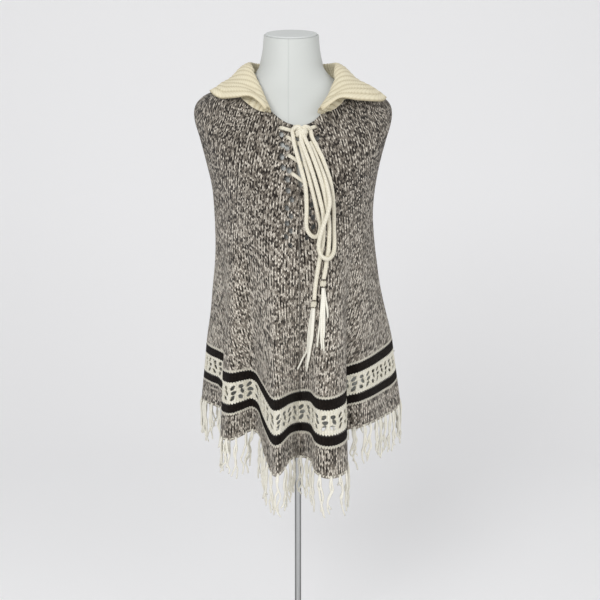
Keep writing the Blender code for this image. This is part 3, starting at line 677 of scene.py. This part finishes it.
# a lace repeat: leaf-shaped holes as across, down and tilt, two columns that mirror each other
laceMotif = {
    "pitch": 0.0350, "size": (0.0062, 0.0034),
    "holes": ((-0.0085, -0.0100, 0.25), (-0.0058, -0.0010, 0.75), (-0.0095, 0.0085, 0.55),
              (0.0085, -0.0100, -0.60), (0.0110, -0.0010, -0.20), (0.0085, 0.0085, -0.75)),
}


# the repeats fill the band's whole length evenly
def laceField(across, down, height):
    count = round(float(across[len(across) // 2, -1]) / laceMotif["pitch"])
    pitch = across[len(across) // 2, -1] / count
    local = (across / pitch % 1.0 - 0.5) * pitch
    field = np.full(across.shape, 1.0)
    for x, y, tilt in laceMotif["holes"]:
        for wrap in (-pitch, 0, pitch):
            hole = ovalField(local, down, (x + wrap, height / 2 + y), laceMotif["size"], tilt)
            field = np.minimum(field, hole)
    return field


def buildBand(name, look):
    gridRows, gridColumns = look["grid"]
    first, last = bandStarts[look["index"]], bandStarts[look["index"] + 1]
    inset = 0.012
    levels = np.linspace(first + inset, last - inset, gridRows)
    turns = np.linspace(0.5, 1.5, gridColumns + 1)
    points = clothAt(levels, turns)
    across = arcLength(points, 0)
    middle = np.broadcast_to(across[len(across) // 2], across.shape)
    down = np.broadcast_to(np.linspace(0, 1, gridRows)[:, None], across.shape)
    pattern = np.stack([middle / gauge["wale"], (1 - down) * look["rows"]], axis=-1)
    keep = None
    if name == "laceBand":
        height = rowLength(points)[-1:, :]
        field = laceField(middle, down * height, height)
        (points, pattern), keep = cutGrid((points, pattern), field)
    piece = thicken(gridMesh(name, points, pattern, keep), drape["wall"])
    material = knitMaterial(name + "Wool", look["look"])
    return finishPiece(piece, material, look["slot"], look["node"])


bands = {name: buildBand(name, look) for name, look in bandPieces.items()}
print("bands", {name: len(piece.data.polygons) for name, piece in bands.items()})


# seam turn and ring level, ridge, middle of the fall, outer edge, from the left front round the back
collarColumns = (
    (-0.100, 0.14, -0.048, -0.108, 1.073, -0.0515, -0.113, 1.078, -0.055, -0.115, 1.079),
    (-0.113, 0.60, -0.055, -0.098, 1.089, -0.061, -0.108, 1.092, -0.066, -0.112, 1.091),
    (-0.135, 0.92, -0.064, -0.080, 1.110, -0.075, -0.092, 1.107, -0.084, -0.099, 1.102),
    (-0.172, 1.14, -0.074, -0.052, 1.136, -0.096, -0.066, 1.126, -0.113, -0.083, 1.101),
    (-0.215, 1.05, -0.084, -0.022, 1.160, -0.115, -0.032, 1.138, -0.146, -0.045, 1.104),
    (-0.255, 0.70, -0.088, 0.010, 1.171, -0.124, 0.012, 1.144, -0.161, 0.006, 1.117),
    (-0.310, 0.40, -0.078, 0.046, 1.174, -0.112, 0.062, 1.142, -0.140, 0.078, 1.100),
    (-0.400, 0.30, -0.046, 0.074, 1.175, -0.064, 0.096, 1.146, -0.080, 0.112, 1.090),
    (-0.500, 0.30, -0.010, 0.083, 1.175, -0.010, 0.106, 1.146, -0.010, 0.122, 1.086),
    (-0.600, 0.30, 0.026, 0.074, 1.175, 0.044, 0.096, 1.146, 0.060, 0.112, 1.090),
    (-0.690, 0.40, 0.060, 0.046, 1.174, 0.094, 0.062, 1.142, 0.126, 0.078, 1.098),
    (-0.745, 0.70, 0.071, 0.010, 1.170, 0.108, 0.012, 1.142, 0.160, 0.006, 1.110),
    (-0.785, 1.10, 0.069, -0.022, 1.158, 0.103, -0.032, 1.136, 0.152, -0.045, 1.099),
    (-0.822, 1.13, 0.066, -0.052, 1.134, 0.085, -0.066, 1.125, 0.108, -0.083, 1.097),
    (-0.845, 1.02, 0.058, -0.080, 1.108, 0.068, -0.092, 1.106, 0.076, -0.099, 1.099),
    (-0.877, 0.68, 0.046, -0.098, 1.087, 0.052, -0.108, 1.090, 0.057, -0.112, 1.089),
    (-0.906, 0.05, 0.036, -0.108, 1.072, 0.039, -0.113, 1.077, 0.042, -0.115, 1.078),
)
collar = {
    "wall": 0.0032, "lift": 0.0021, "coarse": (25, 61), "rows": 44, "columns": 640, "ridgeAt": 1 / 3,
    "ribDepth": 0.0009, "rim": 0.0010, "middle": 8, "endColumns": 5, "endRibs": 11, "halfRibs": 25,
}


# ribs run square to the seam, over the ridge to the outer edge; the five columns at each end
# lie beside the collar's short end, so there the ribs run along the lower edge instead
def buildCollar():
    count = collar["columns"]
    at = np.linspace(0, len(collarColumns) - 1, collar["coarse"][1])
    read = splineAt(collarColumns, at)
    seam = np.array([ringAt(splineAt(clothRings, row[1]), row[0]) for row in read])
    ridge, mid, edge = read[:, 2:5], read[:, 5:8], read[:, 8:11]
    up = np.array((0, 0, 1.0))
    out = (ridge - seam) * (1, 1, 0)
    size = np.linalg.norm(ridge - seam, axis=1, keepdims=True)
    foot = seam + up * 0.0010
    stand = foot + (ridge - foot) * 0.55 - out * 0.15
    strips = np.array([foot, stand, ridge, ridge * 0.6 + mid * 0.4 + up * 0.12 * size, mid,
                       mid * 0.5 + edge * 0.5 + up * 0.06 * size, edge])
    coarse = splineAt(strips, np.linspace(0, len(strips) - 1, collar["coarse"][0]))
    for _ in range(3):
        far = coarse - gridNormals(coarse, False) * collar["wall"]
        coarse = coarse + restOn(far, clothGrid, clothNormals, collar["lift"]) - far
        coarse = restOn(coarse, clothGrid, clothNormals, collar["lift"])
    fine = splineAt(coarse, np.linspace(0, len(coarse) - 1, collar["rows"]))
    fine = np.swapaxes(splineAt(np.swapaxes(fine, 0, 1), np.linspace(0, len(at) - 1, count + 1)), 0, 1)
    normal = gridNormals(fine, False)
    fall = np.linspace(0, 1, collar["rows"])[:, None]
    middle, end = collar["middle"], collar["endColumns"]
    column = np.linspace(0, 2 * middle, count + 1)[None]
    fromEnd = np.minimum(column, 2 * middle - column)
    over = np.clip((fall - collar["ridgeAt"]) / (1 - collar["ridgeAt"]), 0, 1)
    outer = np.maximum(0, fromEnd - end) * middle / (middle - end)
    reach = fromEnd * (1 - over) + outer * over
    ribs = np.interp(reach, (0, end, middle), (0, collar["endRibs"], collar["halfRibs"]))
    ribs = np.where(column > middle, 2 * collar["halfRibs"] - ribs, ribs)
    wave = np.abs(np.sin(np.pi * ribs)) ** 0.7
    rim = np.exp(-((1 - fall) / 0.03) ** 2)
    lift = collar["ribDepth"] * (wave - 0.5) * (1 - rim) + collar["rim"] * rim
    fine = fine + normal * lift[..., None]
    pattern = np.stack(np.broadcast_arrays(ribs, fall * 26 + fromEnd * 5), axis=-1)
    piece = thicken(gridMesh("ribCollar", fine, pattern), collar["wall"])
    material, n, shader = newMaterial("ribWool")
    stitches = n.add("ShaderNodeUVMap", uv_map="stitches").outputs[0]
    spread = n.add("ShaderNodeSeparateXYZ", {0: stitches})
    rib = n.math("ABSOLUTE", n.math("SINE", n.math("MULTIPLY", spread.outputs[0], 3.14159)))
    row = n.math("FRACT", n.math("ADD", spread.outputs[1], n.math("MULTIPLY", rib, 0.5)))
    stitch = n.math("SINE", n.math("MULTIPLY", row, 3.14159))
    ribShare = n.math("MULTIPLY", n.math("POWER", rib, 0.6), 0.7)
    height = n.math("ADD", ribShare, n.math("MULTIPLY", stitch, 0.3))
    # painted shade: the rib valleys take the darker tan and the rib tops the lit cream
    colour = n.mix(n.remap(height, 0.2, 0.9), (0.56, 0.49, 0.33, 1), (0.82, 0.76, 0.58, 1))
    blotch = n.noise(n.add("ShaderNodeTexCoord").outputs["Object"], 45.0, 3.0)
    colour = n.mix(n.remap(blotch, 0.35, 0.7, 0.0, 0.35), colour, (0.70, 0.62, 0.44, 1))
    woolFinish(n, shader, colour, height, 0.8, 0.0014)
    return finishPiece(piece, material, "cream_rib", "collar")


collarPiece = buildCollar()
print("collar", len(collarPiece.data.polygons))


# centre lines of the bow's loops and tails, and the lacing's straight crossings
cordLines = {
    "bowLoopLeft": (
        (0.0070, -0.1240, 1.0440), (0.0015, -0.1252, 1.0482), (-0.0045, -0.1232, 1.0470),
        (-0.0088, -0.1192, 1.0414), (-0.0077, -0.1232, 1.0310), (-0.0055, -0.1279, 1.0172),
        (0.0006, -0.1342, 0.9950), (0.0064, -0.1390, 0.9746), (0.0121, -0.1418, 0.9525),
        (0.0148, -0.1392, 0.9320), (0.0154, -0.1358, 0.9045), (0.0151, -0.1342, 0.8786),
        (0.0197, -0.1329, 0.8664), (0.0284, -0.1318, 0.8593), (0.0364, -0.1306, 0.8636),
        (0.0395, -0.1307, 0.8784), (0.0363, -0.1326, 0.8923), (0.0292, -0.1374, 0.9235),
        (0.0211, -0.1416, 0.9559), (0.0146, -0.1375, 0.9814), (0.0083, -0.1315, 1.0052),
        (0.0037, -0.1258, 1.0232),
    ),
    "bowLoopRight": (
        (0.0070, -0.1240, 1.0440), (0.0125, -0.1252, 1.0482), (0.0182, -0.1226, 1.0468),
        (0.0223, -0.1184, 1.0414), (0.0247, -0.1224, 1.0310), (0.0324, -0.1268, 1.0156),
        (0.0439, -0.1326, 0.9916), (0.0557, -0.1333, 0.9576), (0.0607, -0.1288, 0.9319),
        (0.0627, -0.1263, 0.9059), (0.0635, -0.1225, 0.8692), (0.0640, -0.1274, 0.8433),
        (0.0614, -0.1379, 0.8302), (0.0524, -0.1482, 0.8224), (0.0411, -0.1487, 0.8276),
        (0.0364, -0.1481, 0.8414), (0.0374, -0.1479, 0.8552), (0.0410, -0.1469, 0.8698),
        (0.0460, -0.1470, 0.8844), (0.0514, -0.1469, 0.8998), (0.0551, -0.1467, 0.9185),
        (0.0530, -0.1446, 0.9355), (0.0475, -0.1410, 0.9576), (0.0371, -0.1356, 0.9848),
        (0.0272, -0.1295, 1.0087), (0.0204, -0.1258, 1.0224),
    ),
    "tailLeft": (
        (0.0060, -0.1250, 1.0380), (0.0058, -0.1300, 1.0310),
        (0.0067, -0.1341, 1.0228), (0.0117, -0.1386, 1.0083), (0.0194, -0.1437, 0.9880),
        (0.0293, -0.1456, 0.9576), (0.0377, -0.1422, 0.9270), (0.0437, -0.1398, 0.9012),
        (0.0449, -0.1376, 0.8787), (0.0439, -0.1376, 0.8528), (0.0395, -0.1397, 0.8277),
        (0.0357, -0.1371, 0.8067), (0.0315, -0.1353, 0.7773), (0.0289, -0.1372, 0.7493),
    ),
    "tailRight": (
        (0.0080, -0.1250, 1.0380), (0.0115, -0.1300, 1.0310),
        (0.0146, -0.1339, 1.0234), (0.0202, -0.1372, 1.0118), (0.0313, -0.1441, 0.9829),
        (0.0399, -0.1445, 0.9576), (0.0459, -0.1408, 0.9355), (0.0509, -0.1387, 0.9098),
        (0.0543, -0.1354, 0.8855), (0.0549, -0.1339, 0.8699), (0.0541, -0.1352, 0.8439),
        (0.0508, -0.1386, 0.8198), (0.0480, -0.1377, 0.8004), (0.0452, -0.1380, 0.7864),
    ),
}
tasselStrands = {
    "left": (
        ((0.0279, -0.1375, 0.7351), (0.0262, -0.1388, 0.7104), (0.0234, -0.1396, 0.6748),
         (0.0192, -0.1374, 0.6492), (0.0154, -0.1341, 0.6213)),
        ((0.0272, -0.1372, 0.7351), (0.0237, -0.1375, 0.7066), (0.0203, -0.1366, 0.6743),
         (0.0175, -0.1361, 0.6453), (0.0133, -0.1313, 0.6279)),
        ((0.0289, -0.1380, 0.7352), (0.0275, -0.1398, 0.7106), (0.0255, -0.1417, 0.6824),
         (0.0220, -0.1393, 0.6604), (0.0192, -0.1384, 0.6386)),
        ((0.0262, -0.1356, 0.7349), (0.0220, -0.1340, 0.7096), (0.0189, -0.1338, 0.6845),
         (0.0171, -0.1331, 0.6601), (0.0093, -0.1283, 0.6437), (-0.0005, -0.1288, 0.6230)),
        ((0.0282, -0.1390, 0.7354), (0.0254, -0.1404, 0.7036), (0.0223, -0.1399, 0.6713),
         (0.0189, -0.1386, 0.6459), (0.0168, -0.1369, 0.6256)),
    ),
    "right": (
        ((0.0443, -0.1371, 0.7705), (0.0421, -0.1420, 0.7429), (0.0393, -0.1463, 0.7117),
         (0.0362, -0.1489, 0.6873), (0.0341, -0.1501, 0.6679)),
        ((0.0446, -0.1370, 0.7705), (0.0442, -0.1424, 0.7394), (0.0435, -0.1480, 0.7049),
         (0.0445, -0.1521, 0.6808), (0.0459, -0.1554, 0.6619)),
        ((0.0457, -0.1369, 0.7705), (0.0485, -0.1402, 0.7497), (0.0516, -0.1425, 0.7341),
         (0.0526, -0.1451, 0.7186)),
        ((0.0439, -0.1380, 0.7706), (0.0428, -0.1438, 0.7396), (0.0414, -0.1494, 0.7051),
         (0.0410, -0.1535, 0.6811), (0.0424, -0.1561, 0.6656)),
        ((0.0449, -0.1384, 0.7706), (0.0459, -0.1440, 0.7397), (0.0463, -0.1489, 0.7086),
         (0.0459, -0.1533, 0.6846)),
    ),
}
laces = (
    (-0.0300, -0.1058, 1.0480, -0.0074, -0.1129, 1.0414),
    (0.0195, -0.1098, 1.0456, 0.0305, -0.1053, 1.0497),
    (-0.0185, -0.1144, 1.0323, 0.0213, -0.1227, 1.0062),
    (-0.0157, -0.1244, 1.0000, 0.0209, -0.1301, 0.9774),
    (-0.0098, -0.1322, 0.9686, 0.0178, -0.1345, 0.9498),
)
cord = {"radius": 0.0037, "wales": 5, "row": 0.0052, "step": 0.0022, "sides": 14, "swell": 0.05}


# i-cord: the knit pattern runs round the tube, so across = wales round it and down = rows along it
def cordMaterial(name, wales, row, tones):
    material, n, shader = newMaterial(name)
    uv = n.add("ShaderNodeUVMap", uv_map="stitches").outputs[0]
    scaled = n.add("ShaderNodeMapping", {"Vector": uv, "Scale": (wales, 1 / row, 1.0)}).outputs[0]
    knit = useGroup(n, "knit", {"Stitches": scaled, "Fuzz": 1.0})
    # painted shade: the stitches' low parts take the first, darker tone and their high parts the second, lit
    # tone
    colour = n.mix(n.remap(knit["Height"], 0.2, 0.85), (*tones[0], 1), (*tones[1], 1))
    woolFinish(n, shader, colour, knit["Height"], 0.8, 0.0012)
    return material


cordShadedAndLitTones = ((0.66, 0.60, 0.46), (0.93, 0.89, 0.76))
cordWool = cordMaterial("cordWool", cord["wales"], cord["row"], cordShadedAndLitTones)


# a cord starts in the bow's knot; its radius swells as the sine of the way along, once a row
def buildCord(name, points, node):
    path = evenPath(points, cord["step"])
    run = np.arange(len(path)) * cord["step"]
    radius = cord["radius"] * (1 + cord["swell"] * np.sin(2 * np.pi * run / cord["row"]))
    piece = tubesMesh(name, [path], [radius], cord["sides"])
    finishPiece(piece, cordWool, "cream_cord", node)
    return piece


# yarn: each strand is its own tube, thinner toward its tip by the cube of the way along, all joined
def buildYarn(name, paths, radius, slot, node, tip=0.6):
    smooth = [evenPath(path, 0.004) for path in paths]
    radii = [radius * (1 - (1 - tip) * np.linspace(0, 1, len(path)) ** 3) for path in smooth]
    piece = tubesMesh(name, smooth, radii, 6)
    return finishPiece(piece, yarnWool, slot, node)


# the yarn's darker tone is painted shade in the grooves, the paler tone its lit tops
yarnWool = cordMaterial("yarnWool", 2, 0.0035, ((0.82, 0.78, 0.66), (0.97, 0.95, 0.86)))


# a knot is three turns of cord that climb an upright oval and tilt across it
def buildKnot(name, centre, size, cordRadius, node):
    turns = 3
    angle = np.linspace(0, 2 * np.pi * turns, 26 * turns)
    climb = np.linspace(-1, 1, len(angle))
    ringSize = np.sqrt(np.maximum(1 - (0.75 * climb) ** 2, 0.1))
    reach = np.array(size) - cordRadius
    x = centre[0] + reach[0] * ringSize * np.sin(angle)
    y = centre[1] - reach[1] * ringSize * np.cos(angle)
    z = centre[2] + reach[2] * 0.8 * climb + reach[2] * 0.22 * np.sin(angle)
    piece = tubesMesh(name, [np.stack([x, y, z], axis=1)], [cordRadius], 12)
    return finishPiece(piece, cordWool, "cream_cord", node)


bowSize = (0.0117, 0.0102, 0.0120)
endSize, endRadius = (0.0058, 0.0052, 0.0073), 0.0022
buildKnot("bowKnot", (0.0070, -0.1218, 1.0390), bowSize, cord["radius"], "bow_knot")
knotLeft = buildKnot("knotLeft", (0.0278, -0.1399, 0.7420), endSize, endRadius, "tail_knot_left")
knotRight = buildKnot("knotRight", (0.0444, -0.1377, 0.7782), endSize, endRadius, "tail_knot_right")
tasselLeft = buildYarn("tasselLeft", tasselStrands["left"], 0.0025, "cream_cord", "tassel_left")
tasselRight = buildYarn("tasselRight", tasselStrands["right"], 0.0025, "cream_cord", "tassel_right")
buildCord("bowLoopLeft", cordLines["bowLoopLeft"], "bow_loop_left")
buildCord("bowLoopRight", cordLines["bowLoopRight"], "bow_loop_right")
for name, node, pieces in (("tailLeft", "cord_tail_left", [knotLeft, tasselLeft]),
                           ("tailRight", "cord_tail_right", [knotRight, tasselRight])):
    buildCord(name, cordLines[name], node)


# each crossing bows out a little in its middle and dips into the cloth at its ends
def buildLacing():
    paths = []
    for ends in laces:
        a, b = np.array(ends[:3]), np.array(ends[3:])
        t = np.linspace(0, 1, 12)[:, None]
        sink = np.array((0, 0.006, 0)) * (np.abs(2 * t - 1) ** 6)
        paths.append(a + (b - a) * t + sink)
    piece = tubesMesh("lacing", paths, [cord["radius"] * 0.92] * len(paths), 12)
    return finishPiece(piece, cordWool, "cream_cord",
                       "lacing_1", "lacing_2", "lacing_3", "lacing_4", "lacing_5")


buildLacing()
print("cords built")


fringe = {"spacing": 0.0195, "length": 0.080, "radius": 0.0018, "strands": 3, "seed": 7}


# each tuft hangs from the hem; a strand's sideways wave grows with the distance down it
def buildFringe():
    rng = np.random.default_rng(fringe["seed"])
    turns = np.linspace(0, 1, 3001)
    level = np.array([bandStarts[-1] - 0.15])
    hem = clothAt(level, turns)[0]
    run = np.concatenate([[0], np.cumsum(np.linalg.norm(np.diff(hem, axis=0), axis=1))])
    count = int(round(run[-1] / fringe["spacing"]))
    paths = []
    for k in range(count):
        want = (k + 0.25 * rng.uniform(-1, 1)) / count * run[-1] % run[-1]
        root = np.array([np.interp(want, run, hem[:, i]) for i in range(3)])
        ahead = np.array([np.interp((want + 0.004) % run[-1], run, hem[:, i]) for i in range(3)])
        tangent = (ahead - root) * (1, 1, 0)
        tangent /= max(np.linalg.norm(tangent), 1e-9)
        outward = np.array((tangent[1], -tangent[0], 0))
        lean = rng.normal(0, 0.10)
        for s in range(rng.integers(2, fringe["strands"] + 1)):
            length = fringe["length"] * rng.uniform(0.78, 1.0) * (1.0 if rng.random() > 0.15 else 0.8)
            t = np.linspace(0, 1, 9)
            noise = rng.normal(0, 0.0014, 9)
            wave = noise + 0.0042 * np.sin(2 * np.pi * (t * rng.uniform(1.0, 2.0) + rng.random()))
            side = (s - 1) * 0.0026 + wave * t ** 0.6 + (lean + rng.normal(0, 0.05)) * length * t
            depth = 0.0012 + rng.normal(0, 0.0012, 9) * t - 0.002 * t
            start = root + outward * 0.0006
            path = start + tangent * side[:, None] + outward * depth[:, None]
            path[:, 2] -= length * t
            path[0] = root - outward * 0.0010 + np.array((0, 0, 0.003))
            paths.append(path)
    piece = buildYarn("fringeYarn", paths, fringe["radius"], "cream_fringe", "fringe", 0.75)
    print("fringe tufts", count, "strands", len(paths), "polygons", len(piece.data.polygons))
    return piece


fringePiece = buildFringe()


# the form's shell, closed top and bottom, with a seam line down the front
def buildForm():
    grid = formGrid(220, 160)
    piece = gridMesh("formShell", grid[::-1], closedAcross=True, ends=True)
    material, n, shader = newMaterial("formSkin")
    position = n.add("ShaderNodeTexCoord").outputs["Object"]
    grain = useGroup(n, "grain", {"Position": position, "Scale": 60.0})
    spread = n.add("ShaderNodeSeparateXYZ", {0: position})
    seam = n.math("ABSOLUTE", n.math("ADD", spread.outputs[0], 0.0165))
    seamLine = n.remap(seam, 0.0004, 0.0016)
    front = n.math("LESS_THAN", spread.outputs[1], 0.0)
    seamLine = n.math("MAXIMUM", seamLine, n.math("SUBTRACT", 1.0, front))
    colour = n.mix(grain["Mask"], (0.545, 0.565, 0.548, 1), (0.605, 0.62, 0.60, 1))
    colour = n.mix(n.remap(seamLine, 0, 1, 0.35, 0.0), colour, (0.42, 0.44, 0.43, 1))
    n.put(shader, "Base Color", colour)
    shader.inputs["Roughness"].default_value = 0.6
    height = n.math("ADD", n.math("MULTIPLY", grain["Height"], 0.15), seamLine)
    bump = n.add("ShaderNodeBump", {"Height": height, "Strength": 0.35, "Distance": 0.0008})
    n.put(shader, "Normal", bump.outputs[0])
    return finishPiece(piece, material, "form_shell", "form_torso")


buildForm()


# brushed steel: streaks along one direction vary roughness and tone; a tube's sides are painted dark, a
# painted reflection of dark surroundings
def steelMaterial(name, base, scale, edge=0.0):
    material, n, shader = newMaterial(name)
    position = n.add("ShaderNodeTexCoord").outputs["Object"]
    streaks = n.noise(n.add("ShaderNodeMapping", {"Vector": position, "Scale": scale}).outputs[0], 1.0, 3.0)
    colour = n.mix(streaks, tuple(c * 0.85 for c in base) + (1,), base + (1,))
    if edge:
        # painted reflection: the pole darkens toward its sides by its distance from the middle
        aside = n.math("ABSOLUTE", n.add("ShaderNodeSeparateXYZ", {0: position}).outputs[0])
        colour = n.mix(n.remap(aside, edge * 0.35, edge * 0.95), colour, (0.09, 0.09, 0.09, 1))
    n.put(shader, "Base Color", colour)
    shader.inputs["Metallic"].default_value = 1.0
    n.put(shader, "Roughness", n.remap(streaks, 0.3, 0.7, 0.24, 0.38))
    return material


capMaterial, capNodes, capShader = newMaterial("capSkin")
capPlace = capNodes.add("ShaderNodeTexCoord").outputs["Object"]
capMask = useGroup(capNodes, "grain", {"Position": capPlace, "Scale": 40.0})["Mask"]
capNodes.put(capShader, "Base Color", capNodes.mix(capMask, (0.58, 0.60, 0.59, 1), (0.66, 0.68, 0.67, 1)))
capShader.inputs["Roughness"].default_value = 0.65
setMaterial(nodes["neck_cap"], capMaterial)
setMaterial(nodes["stand_pole"], steelMaterial("poleSteel", (0.56, 0.57, 0.57), (900.0, 900.0, 6.0), 0.0063))
setMaterial(nodes["stand_base"], steelMaterial("baseSteel", (0.60, 0.60, 0.59), (40.0, 900.0, 40.0)))
print("form and stand dressed")


def buildStage():
    profile = [(-3.0, 0.0), (1.2, 0.0)]
    profile += [(1.2 + 0.9 * np.sin(a), 0.9 - 0.9 * np.cos(a)) for a in np.linspace(0.1, np.pi / 2, 14)]
    profile += [(2.1, 4.0)]
    line = np.array(profile)
    x = np.linspace(-4, 4, 2)
    points = np.stack([np.broadcast_to(x[None], (len(line), 2)), np.broadcast_to(line[:, :1], (len(line), 2)),
                       np.broadcast_to(line[:, 1:], (len(line), 2))], axis=2)
    stage = gridMesh("studioFloor", points[:, ::-1])
    material, n, shader = newMaterial("studioPaper")
    shader.inputs["Base Color"].default_value = (0.80, 0.80, 0.81, 1)
    shader.inputs["Roughness"].default_value = 0.9
    shader.inputs["Emission Color"].default_value = (1, 1, 1, 1)
    shader.inputs["Emission Strength"].default_value = 0.13
    setMaterial(stage, material)


def addLight(name, position, target, size, energy):
    data = bpy.data.lights.new(name, "AREA")
    data.shape = "DISK"
    data.size = size
    data.energy = energy
    light = bpy.data.objects.new(name, data)
    bpy.context.scene.collection.objects.link(light)
    light.location = position
    light.rotation_euler = (Vector(target) - Vector(position)).to_track_quat("-Z", "Y").to_euler()


buildStage()
addLight("key", (-1.1, -2.5, 2.2), (0, 0, 0.8), 1.5, 44)
addLight("fill", (1.9, -2.1, 1.5), (0, 0, 0.8), 2.0, 20)
world = bpy.data.worlds.new("studio")
bpy.context.scene.world = world
world.use_nodes = True
world.node_tree.nodes["Background"].inputs[0].default_value = (1, 1, 1, 1)
world.node_tree.nodes["Background"].inputs[1].default_value = 0.52
bpy.context.scene.view_settings.view_transform = "Standard"
print("studio ready")
